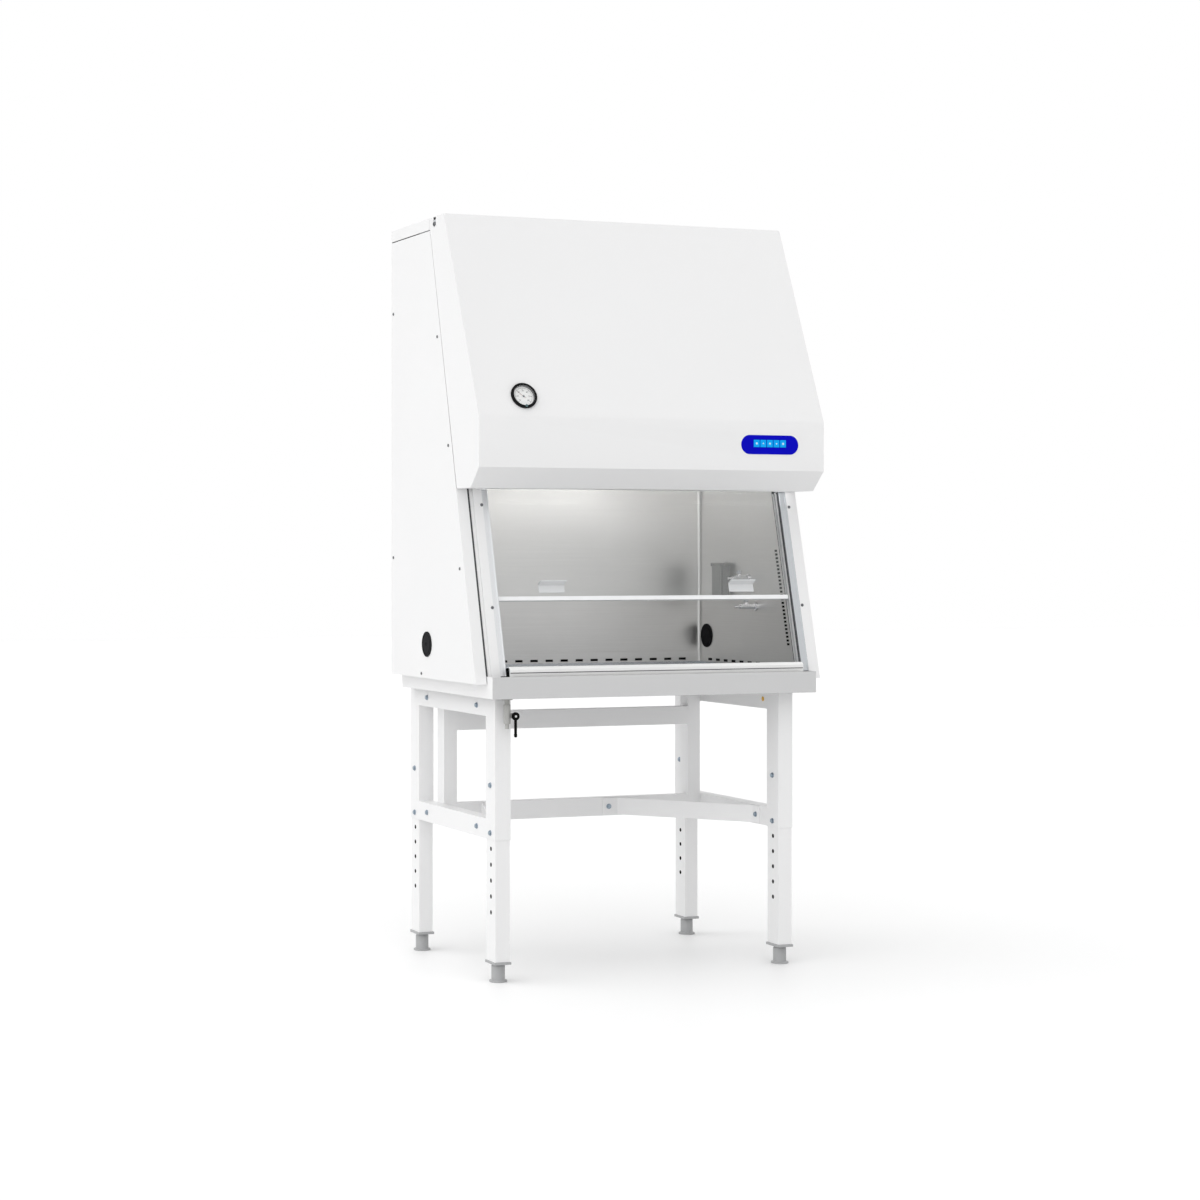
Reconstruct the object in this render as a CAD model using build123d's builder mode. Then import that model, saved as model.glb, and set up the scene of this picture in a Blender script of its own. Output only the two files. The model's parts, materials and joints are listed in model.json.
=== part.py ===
from build123d import *
import math
import os

os.makedirs("parts", exist_ok=True)

# A class II biosafety cabinet on a telescoping four-legged stand, in millimetres.
# X runs to the right, Y to the back and Z up. The origin is on the floor under the middle of the part.

# Overall sizes
cabinet_width = 1240
overall_depth = 836
stand_height = 910
cabinet_height = 1570
sheet = 2
face_gap = 2
side_gap = 1

# Base tray with its apron
tray_width = 1162
tray_height = 70
rear_inset = 28

# Front cover: upper slope, vertical fascia and chamfer
fascia_setback = 17
fascia_bottom_height = 733
fascia_height = 164
chamfer_depth = 70
chamfer_height = 64
cover_top_setback = 316

# Side panels with a sloped front edge
panel_lift = 46
panel_setback = 41
front_tilt = 15.1
panel_top_drop = 42
left_flange = 37
right_flange = 39
cap_gap = 3

# Work chamber
chamber_left = -523
chamber_right = 548
chamber_back = 345
chamber_height = 662
drain_floor = 2
ledge_width = 25
ledge_thickness = 3
work_surface_lift = 65
tray_gap = 4
tray_rim = 9
slot_length = 28
slot_height = 8
slot_pitch = 58
slot_centre_lift = 83
strip_height = 42
strip_thickness = 1.5
strip_lift = 70
shelf_hole = 6
shelf_hole_pitch = 13
shelf_hole_count = 26
shelf_hole_start = 75
shelf_hole_inset = 22

# Column, tracks and seals along the sloped front
gasket_width = 8
column_width = 42
column_step = 11
column_step_depth = 6
column_depth = 60
track_width = 21
right_track_width = 25
track_depth = 32
track_wall = 4
groove_depth = 13
right_groove_depth = 16
track_run = 1290
seal_width = 6

# Sash
glass_thickness = 6
glass_setback = 20
groove_clearance = 0.6
glass_height = 680
glass_end_gap = 1
sash_opening = 276
rail_height = 14
rail_depth = 17
rail_lap = 4
handle_width = 92
handle_height = 32
handle_lip = 24
handle_thickness = 3
left_handle_x = -315
right_handle_x = 377

# Plenum, filters and blower
plenum_setback = 95
hanger_drop = 8
hanger_height = 30
hanger_depth = 30
hanger_setback = 56
blower_shelf_lift = 890
blower_radius = 120
blower_width = 250
scroll_step = 16
scroll_gap = 22
blower_x = 12
blower_y = 190
blower_lift = 1100
blower_disc = 3
blade_count = 24
blade_thickness = 1.5
shaft_radius = 8
shaft_clearance = 0.05
motor_radius = 62
motor_length = 95
filter_height = 84
filter_frame = 18
pleat_pitch = 34
pleat_sheet = 1.5
filter_end_gap = 2
exhaust_width = 900
exhaust_depth = 210
exhaust_height = 76
exhaust_y = 232
vent_width = 14
vent_length = 170
vent_pitch = 30
vent_count = 28

# Sash counterweights on their pulley shaft
pulley_radius = 30
pulley_width = 14
pulley_height = 1420
weight_size = 45
weight_length = 385
weight_top_lift = 950
left_weight_x = -577.5
right_weight_x = 584.5
guide_width = 24
guide_gap = 0.5
guide_low = 1160
guide_high = 2110
lug_thickness = 6

# Gauge on the upper slope
gauge_x = -454.6
gauge_run = 70
gauge_radius = 44
gauge_body_radius = 38
gauge_window_radius = 35
gauge_lip = 9
gauge_body_depth = 30
dial_thickness = 1
lens_thickness = 1.5
lens_radius = 36.2
needle_length = 26
pivot_radius = 1

# Control panel on the fascia
panel_x = 416
panel_z = 1728
panel_width = 213
panel_height = 64
panel_corner = 31.5
panel_lip = 1.5
panel_body_depth = 18
panel_fit = 3
key_width = 21.5
key_height = 24
key_pitch = 24.5
key_count = 5
key_rise = 4
key_depth = 4
key_proud = 0.8
key_pocket = 6
key_clearance = 0.3

# Fittings of the chamber's right wall
outlet_y = 160
outlet_z = 1268
outlet_width = 80
outlet_height = 122
outlet_depth = 28
outlet_lid = 4
lid_gap = 0.3
hinge_radius = 4
pin_radius = 1.5
valve_flange_radius = 15
valve_body_radius = 10
valve_body_length = 62
valve_flange_thickness = 6
valve_neck = 5
valve_stem_reach = 40
nozzle_radius = 5
nozzle_length = 20
lower_valve_y = -70
lower_valve_z = 1188
upper_valve_y = -20
upper_valve_z = 1284
knob_radius = 8
knob_height = 10
stem_radius = 3

# Ports with their plugs
port_radius = 36
port_wall = 2
plug_flange = 42
plug_flange_thickness = 3.5
plug_shank = 30
plug_clearance = 0.4
left_port_y = 49
left_port_z = 1069
right_port_y = 292
right_port_z = 1077

# Lamp behind the fascia
lamp_length = 1040
lamp_radius = 13
lamp_back = 46
lamp_channel_depth = 44
lamp_channel_height = 62
lamp_socket = 12

# Drain valve and lever
drain_x = -509
drain_y = -366
drain_body_radius = 11
drain_body_height = 61
drain_drop = 20
drain_pipe_radius = 8
drain_flange_radius = 18
drain_offset = 22
drain_nozzle_radius = 6
drain_nozzle_length = 16
boss_radius = 9
lever_radius = 13
lever_thickness = 6
lever_length = 60
lever_grip = 4
lever_pin_radius = 4

# Stand
leg_spread = 1076
sleeve_width = 54
sleeve_depth = 78
sleeve_wall = 1.8
front_leg_setback = 81
sleeve_drop = 455
beam_width = 50
top_beam_height = 62
low_beam_height = 64
tube_wall = 2
leg_clearance = 0.3
leg_wall = 2.5
leg_top = 650
hole_pitch = 50.8
hole_radius = 5.5
hole_count = 9
pin_hole_sides = 12
hole_top = 628.7
foot_height = 58
foot_radius = 22.5
foot_disc_radius = 29
foot_disc_height = 6
foot_stem_radius = 8
foot_stem_length = 52
foot_plate_thickness = 8
foot_plate_lap = 4
bolt_head_radius = 9.5
bolt_head_height = 6.5
bolt_shank_radius = 5.2

# Rear cross frame and braces
post_width = 48
post_depth = 60
post_setback = 648
upper_bar_top = 830
bar_height = 63
bar_depth = 38
brace_thickness = 5
brace_height = 58
brace_flange = 44
right_brace_x = 151
left_brace_x = -337
brace_y = -175

# Screws
screw_radius = 5
screw_sides = 8
screw_height = 2.5
shoulder_radius = 8
shoulder_height = 3.5
notch_width = 22

# Places worked out from the sizes above
half = cabinet_width / 2
y_apron = -overall_depth / 2
leg_gap = sleeve_wall + leg_clearance
y_leg_rear = overall_depth / 2 - (foot_plate_lap - leg_gap)
y_rear = y_leg_rear - rear_inset
z_base = stand_height
z_top = stand_height + cabinet_height
z_tray_top = z_base + tray_height
tray_half = tray_width / 2
y_foot = y_apron + panel_setback
z_foot = z_base + panel_lift
tilt = math.radians(front_tilt)
tan_tilt = math.tan(tilt)
cos_tilt = math.cos(tilt)
sin_tilt = math.sin(tilt)
z_panel_top = z_top - panel_top_drop
y_fascia = y_apron + fascia_setback
z_fascia_bottom = z_base + fascia_bottom_height
z_fascia_top = z_fascia_bottom + fascia_height
z_cover_bottom = z_fascia_bottom - chamfer_height
y_cover_top = y_apron + cover_top_setback
slope = math.atan2(y_cover_top - y_fascia, z_top - z_fascia_top)
z_ceiling = z_tray_top + chamber_height
z_work = z_base + work_surface_lift
front_plane = Plane(origin=(0, y_foot, z_foot), x_dir=(1, 0, 0), z_dir=(0, -cos_tilt, sin_tilt))
slope_plane = Plane(
    origin=(0, y_fascia, z_fascia_top),
    x_dir=(1, 0, 0),
    z_dir=(0, -math.cos(slope), math.sin(slope)),
)


def front_y(z, setback=0.0):
    """Y of the sloped front at a height, a setback behind it."""
    return y_foot + (z - z_foot) * tan_tilt + setback / cos_tilt


def run_at(z):
    """Distance up the sloped front plane at a height."""
    return (z - z_foot) / cos_tilt


def block(x0, x1, y0, y1, z0, z1, mode=Mode.ADD):
    """A box between two corners, in the part being built."""
    with BuildSketch(Plane.XY.offset(z0)) as outline:
        with Locations(((x0 + x1) / 2, (y0 + y1) / 2)):
            Rectangle(x1 - x0, y1 - y0)
    extrude(outline.sketch, amount=z1 - z0, mode=mode)


def slope_bar(x0, x1, u0, u1, front, back, mode=Mode.ADD):
    """A straight bar along the sloped front, between two setbacks."""
    with BuildSketch(front_plane.offset(-front)) as outline:
        with Locations(((x0 + x1) / 2, (u0 + u1) / 2)):
            Rectangle(x1 - x0, u1 - u0)
    extrude(outline.sketch, amount=-(back - front), mode=mode)


def side_profile(x0, x1, points, mode=Mode.ADD):
    """A plate whose outline lies in YZ, from one X to another."""
    with BuildSketch(Plane.YZ.offset(x0)) as outline:
        with BuildLine():
            Polyline(*points, close=True)
        make_face()
    extrude(outline.sketch, amount=x1 - x0, mode=mode)


def rod_x(x0, x1, y, z, radius, mode=Mode.ADD):
    """A round bar along X."""
    with BuildSketch(Plane.YZ.offset(x0)) as outline:
        with Locations((y, z)):
            Circle(radius)
    extrude(outline.sketch, amount=x1 - x0, mode=mode)


def rod_y(x, z, y0, y1, radius, mode=Mode.ADD):
    """A round bar along Y."""
    with BuildSketch(Plane.XZ.offset(-y0)) as outline:
        with Locations((x, z)):
            Circle(radius)
    extrude(outline.sketch, amount=-(y1 - y0), mode=mode)


def rod_z(x, y, z0, z1, radius, mode=Mode.ADD):
    """A round bar along Z."""
    with BuildSketch(Plane.XY.offset(z0)) as outline:
        with Locations((x, y)):
            Circle(radius)
    extrude(outline.sketch, amount=z1 - z0, mode=mode)


def pin_hole(x0, x1, y, z, radius):
    """A punched hole along X with a few flat sides, which keeps the leg's mesh light."""
    with BuildSketch(Plane.YZ.offset(x0)) as outline:
        with Locations((y, z)):
            RegularPolygon(radius, pin_hole_sides)
    extrude(outline.sketch, amount=x1 - x0, mode=Mode.SUBTRACT)


def save(piece, name):
    """Label a finished piece and write its file."""
    piece.label = name
    export_step(piece, "parts/" + name + ".step")


# Pulley shaft and counterweights hang on a line behind the sash
pulley_z = z_base + pulley_height
pulley_setback = glass_setback + glass_thickness / 2 + pulley_radius
pulley_y = front_y(pulley_z, pulley_setback)
weight_y = pulley_y + pulley_radius
z_weight_top = z_base + weight_top_lift

# Base tray: a folded pan, its front wall the apron
with BuildPart() as base_tray:
    block(-tray_half, tray_half, y_apron, y_rear, z_base, z_tray_top)
    block(
        -tray_half + sheet, tray_half - sheet, y_apron + sheet, y_rear - sheet,
        z_base + sheet, z_tray_top, Mode.SUBTRACT,
    )
    rod_z(drain_x, drain_y, z_base, z_base + sheet, drain_pipe_radius + lid_gap, Mode.SUBTRACT)
save(base_tray.part, "base_tray")

# Rear panel, between the side panels and up to the roof cap
with BuildPart() as rear_panel:
    block(-half + sheet, half - sheet, y_rear - sheet, y_rear, z_tray_top, z_top - sheet)
save(rear_panel.part, "rear_panel")

# Roof cap: a top sheet with side skirts and a vented exhaust outlet
y_cap = front_y(z_panel_top) + 8
with BuildPart() as roof_cap:
    block(-half, half, y_cap, y_rear, z_top - sheet, z_top)
    block(-half, -half + sheet, y_cap, y_rear, z_panel_top + cap_gap, z_top)
    block(half - sheet, half, y_cap, y_rear, z_panel_top + cap_gap, z_top)
    with BuildSketch(Plane.XY.offset(z_top)):
        with Locations((0, exhaust_y)):
            with GridLocations(vent_pitch, 1, vent_count, 1):
                Rectangle(vent_width, vent_length)
    extrude(amount=-sheet, mode=Mode.SUBTRACT)
save(roof_cap.part, "roof_cap")


def side_panel(side, flange, port_y, port_z, weight_x):
    """A side panel with a flange along its slope, a port hole and a guide for its counterweight."""
    outer = side * half
    inner = side * (half - sheet)
    x0 = min(outer, inner)
    x1 = max(outer, inner)
    flange_end = side * (half - flange)
    foot_end = side * tray_half
    guide_end = weight_x + side * (weight_size / 2 + guide_gap)
    outline = [
        (y_foot, z_foot),
        (y_rear, z_foot),
        (y_rear, z_panel_top),
        (front_y(z_panel_top), z_panel_top),
    ]
    with BuildPart() as panel:
        side_profile(x0, x1, outline)
        slope_bar(
            min(outer, flange_end), max(outer, flange_end), 0, run_at(z_panel_top), 0, sheet
        )
        block(
            min(outer, foot_end), max(outer, foot_end), y_foot + sheet, y_rear,
            z_foot, z_foot + sheet,
        )
        block(
            min(inner, guide_end), max(inner, guide_end), weight_y - guide_width / 2,
            weight_y + guide_width / 2, guide_low, guide_high,
        )
        rod_x(x0, x1, port_y, port_z, port_radius, Mode.SUBTRACT)
    return panel.part


save(side_panel(-1, left_flange, left_port_y, left_port_z, left_weight_x), "side_panel_left")
save(side_panel(1, right_flange, right_port_y, right_port_z, right_weight_x), "side_panel_right")

# Left column: a stepped channel beside the sash, standing in the base tray
column_left_x = -half + left_flange + gasket_width
column_right_x = column_left_x + column_width
low_run = -sleeve_width
with BuildPart() as column_left:
    slope_bar(column_left_x, column_right_x, low_run, track_run, column_step_depth, column_depth)
    slope_bar(column_left_x + column_step, column_right_x, low_run, track_run, 0, column_step_depth)
    slope_bar(
        column_left_x + sheet, column_right_x - sheet, low_run, track_run,
        column_step_depth + sheet, column_depth, Mode.SUBTRACT,
    )
    split(bisect_by=Plane.XY.offset(z_base + sheet), keep=Keep.TOP)
save(column_left.part, "column_left")

# Sash tracks: aluminium channels whose grooves hold the glass edges
left_track_end = column_right_x + track_width
right_track_end = half - right_flange
right_track_start = right_track_end - right_track_width
groove_front = glass_setback - groove_clearance
groove_back = glass_setback + glass_thickness + groove_clearance
with BuildPart() as track_left:
    slope_bar(column_right_x, left_track_end, 0, track_run, 0, track_depth)
    slope_bar(
        left_track_end - groove_depth, left_track_end, 0, track_run,
        groove_front, groove_back, Mode.SUBTRACT,
    )
    slope_bar(
        column_right_x + track_wall, left_track_end - track_wall, 0, track_run,
        0, track_wall / 2, Mode.SUBTRACT,
    )
    split(bisect_by=Plane.XY.offset(z_tray_top), keep=Keep.TOP)
save(track_left.part, "track_left")

with BuildPart() as track_right:
    slope_bar(right_track_start, right_track_end, 0, track_run, 0, track_depth)
    slope_bar(
        right_track_start, right_track_start + right_groove_depth, 0, track_run,
        groove_front, groove_back, Mode.SUBTRACT,
    )
    slope_bar(
        right_track_start + track_wall, right_track_end - track_wall, 0, track_run,
        0, track_wall / 2, Mode.SUBTRACT,
    )
    split(bisect_by=Plane.XY.offset(z_tray_top), keep=Keep.TOP)
save(track_right.part, "track_right")

# Black seals: a strip beside the left panel and two lips beside the right track
seal_top = run_at(z_cover_bottom)
with BuildPart() as column_seals:
    slope_bar(
        -half + left_flange, column_left_x, 0, track_run,
        column_step_depth - sheet, column_step_depth + seal_width,
    )
    split(bisect_by=Plane.XY.offset(z_tray_top), keep=Keep.TOP)
    slope_bar(
        right_track_start - seal_width, right_track_start, run_at(z_tray_top + rail_height), seal_top,
        column_step_depth, groove_front - face_gap,
    )
    slope_bar(
        right_track_start - seal_width, right_track_start, run_at(z_tray_top + rail_height), seal_top,
        groove_back + face_gap, track_depth + seal_width,
    )
save(column_seals.part, "column_seals")

# Stainless chamber liner: side and back walls, return slots, ledges and the drain floor
wall_front = front_y(z_ceiling, track_depth)
liner_left = chamber_left - sheet
liner_right = chamber_right + sheet
liner_back = chamber_back + sheet
z_liner = z_base + sheet
y_liner_front = y_apron + sheet
wall_outline = [
    (y_liner_front, z_liner),
    (liner_back, z_liner),
    (liner_back, z_ceiling),
    (wall_front, z_ceiling),
    (front_y(z_tray_top, track_depth), z_tray_top),
    (y_liner_front, z_tray_top),
]
z_slot = z_base + slot_centre_lift
z_strip = z_base + strip_lift
shelf_run = run_at(z_base + slot_centre_lift) + shelf_hole_start
wall_slots = int((chamber_back - front_y(z_slot, track_depth)) / slot_pitch) - 1
back_slots = int((chamber_right - chamber_left) / slot_pitch) - 1
slot_y = (chamber_back + front_y(z_slot, track_depth)) / 2
slot_x = (chamber_left + chamber_right) / 2
with BuildPart() as chamber_liner:
    side_profile(liner_left, chamber_left, wall_outline)
    side_profile(chamber_right, liner_right, wall_outline)
    block(liner_left, liner_right, chamber_back, liner_back, z_liner, z_ceiling)
    block(liner_left, liner_right, y_liner_front, liner_back, z_liner, z_liner + drain_floor)
    block(liner_left, liner_right, y_liner_front, y_liner_front + sheet, z_liner, z_tray_top)
    block(
        chamber_left, chamber_right, chamber_back - strip_thickness, chamber_back,
        z_strip, z_strip + strip_height,
    )
    for low, high in (
        (chamber_left, chamber_left + ledge_width),
        (chamber_right - ledge_width, chamber_right),
    ):
        block(low, high, y_liner_front, chamber_back, z_work - ledge_thickness * 2, z_work - ledge_thickness)
    block(
        chamber_left, chamber_right, chamber_back - ledge_width, chamber_back,
        z_work - ledge_thickness * 2, z_work - ledge_thickness,
    )
    with BuildSketch(Plane.XZ.offset(-liner_back)):
        with Locations((slot_x, z_slot)):
            with GridLocations(slot_pitch, 1, back_slots, 1):
                Rectangle(slot_length, slot_height)
    extrude(amount=sheet + strip_thickness, mode=Mode.SUBTRACT)
    with BuildSketch(Plane.YZ.offset(liner_left)):
        with Locations((slot_y, z_slot)):
            with GridLocations(slot_pitch, 1, wall_slots, 1):
                Rectangle(slot_length, slot_height)
    extrude(amount=liner_right - liner_left, mode=Mode.SUBTRACT)
    with BuildSketch(Plane.YZ.offset(chamber_right)):
        for step in range(shelf_hole_count):
            hole_z = z_foot + (shelf_run + step * shelf_hole_pitch) * cos_tilt
            with Locations((front_y(hole_z, track_depth + shelf_hole_inset), hole_z)):
                Rectangle(shelf_hole, shelf_hole)
    extrude(amount=sheet, mode=Mode.SUBTRACT)
    rod_x(-half + sheet, liner_left, left_port_y, left_port_z, port_radius + port_wall)
    rod_x(-half + sheet, chamber_left, left_port_y, left_port_z, port_radius, Mode.SUBTRACT)
    rod_x(liner_right, half - sheet, right_port_y, right_port_z, port_radius + port_wall)
    rod_x(chamber_right, half - sheet, right_port_y, right_port_z, port_radius, Mode.SUBTRACT)
    rod_z(
        drain_x, drain_y, z_liner, z_liner + drain_floor, drain_pipe_radius + lid_gap, Mode.SUBTRACT
    )
save(chamber_liner.part, "chamber_liner")

# Work tray: a shallow recessed pan resting on the ledges
grille_back = front_y(z_work) + 125
with BuildPart() as work_tray:
    block(
        chamber_left + tray_gap, chamber_right - tray_gap, grille_back + side_gap,
        chamber_back - tray_gap, z_work - ledge_thickness, z_work + tray_rim,
    )
    block(
        chamber_left + tray_gap + sheet, chamber_right - tray_gap - sheet,
        grille_back + side_gap + sheet, chamber_back - tray_gap - sheet,
        z_work, z_work + tray_rim, Mode.SUBTRACT,
    )
save(work_tray.part, "work_tray")

# Front grille with its armrest lip
lip_top = z_tray_top + 30
grille_top = z_tray_top + 20
grille_front = y_apron + 25
grille_slot_pitch = 26
grille_slot_count = 40
with BuildPart() as front_grille:
    with BuildSketch(Plane.YZ.offset(left_track_end + side_gap)):
        with BuildLine():
            Polyline(
                (grille_front, z_work - ledge_thickness),
                (grille_front, lip_top - 8),
                (grille_front + 8, lip_top),
                (grille_front + 24, lip_top),
                (grille_front + 40, grille_top),
                (grille_back, grille_top),
                (grille_back, z_work - ledge_thickness),
            )
            offset(amount=ledge_thickness, side=Side.RIGHT, kind=Kind.INTERSECTION)
        make_face()
    extrude(amount=chamber_right - left_track_end - 2 * side_gap)
    with BuildSketch(Plane.XY.offset(grille_top)):
        with Locations(((left_track_end + chamber_right) / 2, (grille_front + 46 + grille_back - 8) / 2)):
            with GridLocations(grille_slot_pitch, 1, grille_slot_count, 1):
                Rectangle(8, grille_back - grille_front - 54)
    extrude(amount=-ledge_thickness, mode=Mode.SUBTRACT)
save(front_grille.part, "front_grille")

# Supply diffuser: the perforated ceiling of the chamber
y_diffuser = front_y(z_ceiling, plenum_setback)
with BuildPart() as supply_diffuser:
    block(
        chamber_left, chamber_right, y_diffuser, chamber_back,
        z_ceiling - 3 * sheet, z_ceiling - 2 * sheet,
    )
    with BuildSketch(Plane.XY.offset(z_ceiling - 2 * sheet)):
        with Locations(((chamber_left + chamber_right) / 2, (y_diffuser + chamber_back) / 2)):
            with GridLocations(48, 220, 20, 2):
                Rectangle(26, 190)
    extrude(amount=-sheet, mode=Mode.SUBTRACT)
save(supply_diffuser.part, "supply_diffuser")

# Plenum box over the chamber, with the blower shelf, shaft lugs and the bar that the cover hangs on
z_hanger = z_top - sheet - hanger_drop - hanger_height
z_plenum_top = z_hanger + sheet
z_shelf = z_base + blower_shelf_lift
y_hanger = front_y(z_hanger) - hanger_setback
plenum_outline = [
    (front_y(z_ceiling, plenum_setback), z_ceiling),
    (liner_back, z_ceiling),
    (liner_back, z_plenum_top),
    (front_y(z_plenum_top, plenum_setback), z_plenum_top),
]
plenum_inside = [
    (front_y(z_ceiling, plenum_setback + sheet), z_ceiling),
    (chamber_back, z_ceiling),
    (chamber_back, z_plenum_top),
    (front_y(z_plenum_top, plenum_setback + sheet), z_plenum_top),
]
with BuildPart() as plenum_box:
    side_profile(liner_left, liner_right, plenum_outline)
    side_profile(chamber_left, chamber_right, plenum_inside, Mode.SUBTRACT)
    block(
        liner_left, liner_right, front_y(z_ceiling + sheet, track_depth + side_gap),
        y_diffuser + sheet, z_ceiling, z_ceiling + sheet,
    )
    block(
        liner_left, liner_right, front_y(z_shelf, plenum_setback), liner_back, z_shelf, z_shelf + sheet
    )
    block(
        -half + sheet, half - sheet, y_hanger, front_y(z_plenum_top, plenum_setback + sheet),
        z_plenum_top - sheet, z_plenum_top,
    )
    block(
        -half + sheet, half - sheet, y_hanger, y_hanger + hanger_depth,
        z_plenum_top - sheet, z_hanger + hanger_height,
    )
    for lug_x in (chamber_left + 43, chamber_right - 43 - lug_thickness):
        side_profile(lug_x, lug_x + lug_thickness, [
            (pulley_y - 18, pulley_z - 18),
            (front_y(pulley_z - 18, plenum_setback), pulley_z - 18),
            (front_y(pulley_z + 18, plenum_setback), pulley_z + 18),
            (pulley_y - 18, pulley_z + 18),
        ])
    rod_x(
        chamber_left, chamber_right, pulley_y, pulley_z, shaft_radius + shaft_clearance, Mode.SUBTRACT
    )
    block(
        blower_x - blower_width / 2, blower_x + blower_width / 2,
        blower_y - blower_radius - scroll_gap, blower_y - scroll_gap,
        z_shelf, z_shelf + sheet, Mode.SUBTRACT,
    )
save(plenum_box.part, "plenum_box")


def pleated_filter(x0, x1, y0, y1, z0, z1):
    """A framed filter with one folded sheet of pleats."""
    inner_x0 = x0 + filter_frame
    inner_x1 = x1 - filter_frame
    count = int((inner_x1 - inner_x0) / pleat_pitch)
    pitch = (inner_x1 - inner_x0) / count
    upper = []
    lower = []
    for step in range(2 * count + 1):
        x = inner_x0 + step * pitch / 2
        z = z1 - 12 if step % 2 else z0 + 12
        upper.append((x, z + pleat_sheet * 2))
        lower.append((x, z - pleat_sheet * 2))
    with BuildPart() as filter_part:
        block(x0, x1, y0, y1, z0, z1)
        block(inner_x0, inner_x1, y0 + filter_frame, y1 - filter_frame, z0, z1, Mode.SUBTRACT)
        with BuildSketch(Plane.XZ.offset(-(y0 + filter_frame))):
            with BuildLine():
                Polyline(*(upper + lower[::-1]), close=True)
            make_face()
        extrude(amount=-(y1 - y0 - 2 * filter_frame))
    return filter_part.part


z_supply = z_ceiling - 2 * sheet
save(
    pleated_filter(
        chamber_left + filter_end_gap, chamber_right - filter_end_gap,
        front_y(z_supply + filter_height, plenum_setback + sheet) + filter_end_gap,
        chamber_back - filter_end_gap, z_supply, z_supply + filter_height,
    ),
    "supply_filter",
)
save(
    pleated_filter(
        -exhaust_width / 2, exhaust_width / 2, exhaust_y - exhaust_depth / 2, exhaust_y + exhaust_depth / 2,
        z_top - sheet - exhaust_height, z_top - sheet,
    ),
    "exhaust_filter",
)

# Blower: a scroll housing of growing arcs, open at both cheeks and at its outlet
blower_z = z_base + blower_lift
housing_half = blower_width / 2 + scroll_gap
scroll_start = blower_radius + scroll_gap
z_outlet = z_shelf + sheet


def scroll_outline(inset):
    """The closed outline of the scroll, drawn in YZ, a wall's thickness inside the outer one."""
    first = scroll_start - inset
    bottom = z_outlet - (1 if inset else 0)
    a = CenterArc((blower_y, blower_z), first, 0, 90)
    b = CenterArc((blower_y, blower_z - scroll_step), first + scroll_step, 90, 90)
    low = (b @ 1)
    tongue_z = blower_z - 0.8 * scroll_start
    tongue_y = blower_y + 0.6 * (scroll_start - inset) - 40
    Polyline(
        (low.X, low.Y),
        (low.X, bottom),
        (tongue_y - inset, bottom),
        (tongue_y - inset, tongue_z),
        (blower_y + first * math.cos(math.radians(-40)), blower_z + first * math.sin(math.radians(-40))),
    )
    CenterArc((blower_y, blower_z), first, -40, 40)


with BuildPart() as blower_housing:
    with BuildSketch(Plane.YZ.offset(blower_x - housing_half)):
        with BuildLine():
            scroll_outline(0)
        make_face()
    extrude(amount=2 * housing_half)
    with BuildSketch(Plane.YZ.offset(blower_x - housing_half + sheet)):
        with BuildLine():
            scroll_outline(sheet)
        make_face()
    extrude(amount=2 * (housing_half - sheet), mode=Mode.SUBTRACT)
    rod_x(
        blower_x + housing_half - sheet, blower_x + housing_half, blower_y, blower_z,
        blower_radius * 0.8, Mode.SUBTRACT,
    )
    rod_x(
        blower_x - housing_half, blower_x - housing_half + sheet, blower_y, blower_z,
        shaft_radius + 2, Mode.SUBTRACT,
    )
save(blower_housing.part, "blower_housing")

# Blower wheel: back disc, hub, forward-curved blades and a shroud ring
blade_root = blower_radius * 0.8
blade_chord = (blower_radius - 1 - blade_root) / 2
wheel_x0 = blower_x - blower_width / 2
with BuildPart() as blower_wheel:
    rod_x(wheel_x0, wheel_x0 + blower_disc, blower_y, blower_z, blower_radius)
    rod_x(wheel_x0, wheel_x0 + 40, blower_y, blower_z, 3 * shaft_radius)
    with BuildSketch(Plane.YZ.offset(wheel_x0 + blower_width - blower_disc)):
        with Locations((blower_y, blower_z)):
            Circle(blower_radius)
            Circle(blade_root, mode=Mode.SUBTRACT)
    extrude(amount=blower_disc)
    with BuildSketch(Plane.YZ.offset(wheel_x0 + blower_disc)):
        with Locations((blower_y, blower_z)):
            with PolarLocations(blade_root + blade_chord, blade_count):
                Rectangle(2 * blade_chord, blade_thickness, rotation=35)
    extrude(amount=blower_width - 2 * blower_disc)
    rod_x(
        wheel_x0, wheel_x0 + 40, blower_y, blower_z, shaft_radius + shaft_clearance, Mode.SUBTRACT
    )
save(blower_wheel.part, "blower_wheel")

# Blower motor on its foot, with the shaft that carries the wheel
motor_x1 = blower_x - housing_half - 10
motor_x0 = motor_x1 - motor_length
with BuildPart() as blower_motor:
    rod_x(motor_x0, motor_x1, blower_y, blower_z, motor_radius)
    rod_x(motor_x1, wheel_x0 + 44, blower_y, blower_z, shaft_radius)
    rod_x(motor_x0 - 12, motor_x0, blower_y, blower_z, motor_radius * 0.7)
    block(
        motor_x0 + 10, motor_x1 - 10, blower_y - 8, blower_y + 8, z_outlet + 6, blower_z - motor_radius + 4
    )
    block(motor_x0 + 4, motor_x1 - 4, blower_y - 60, blower_y + 60, z_outlet, z_outlet + 6)
save(blower_motor.part, "blower_motor")

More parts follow.
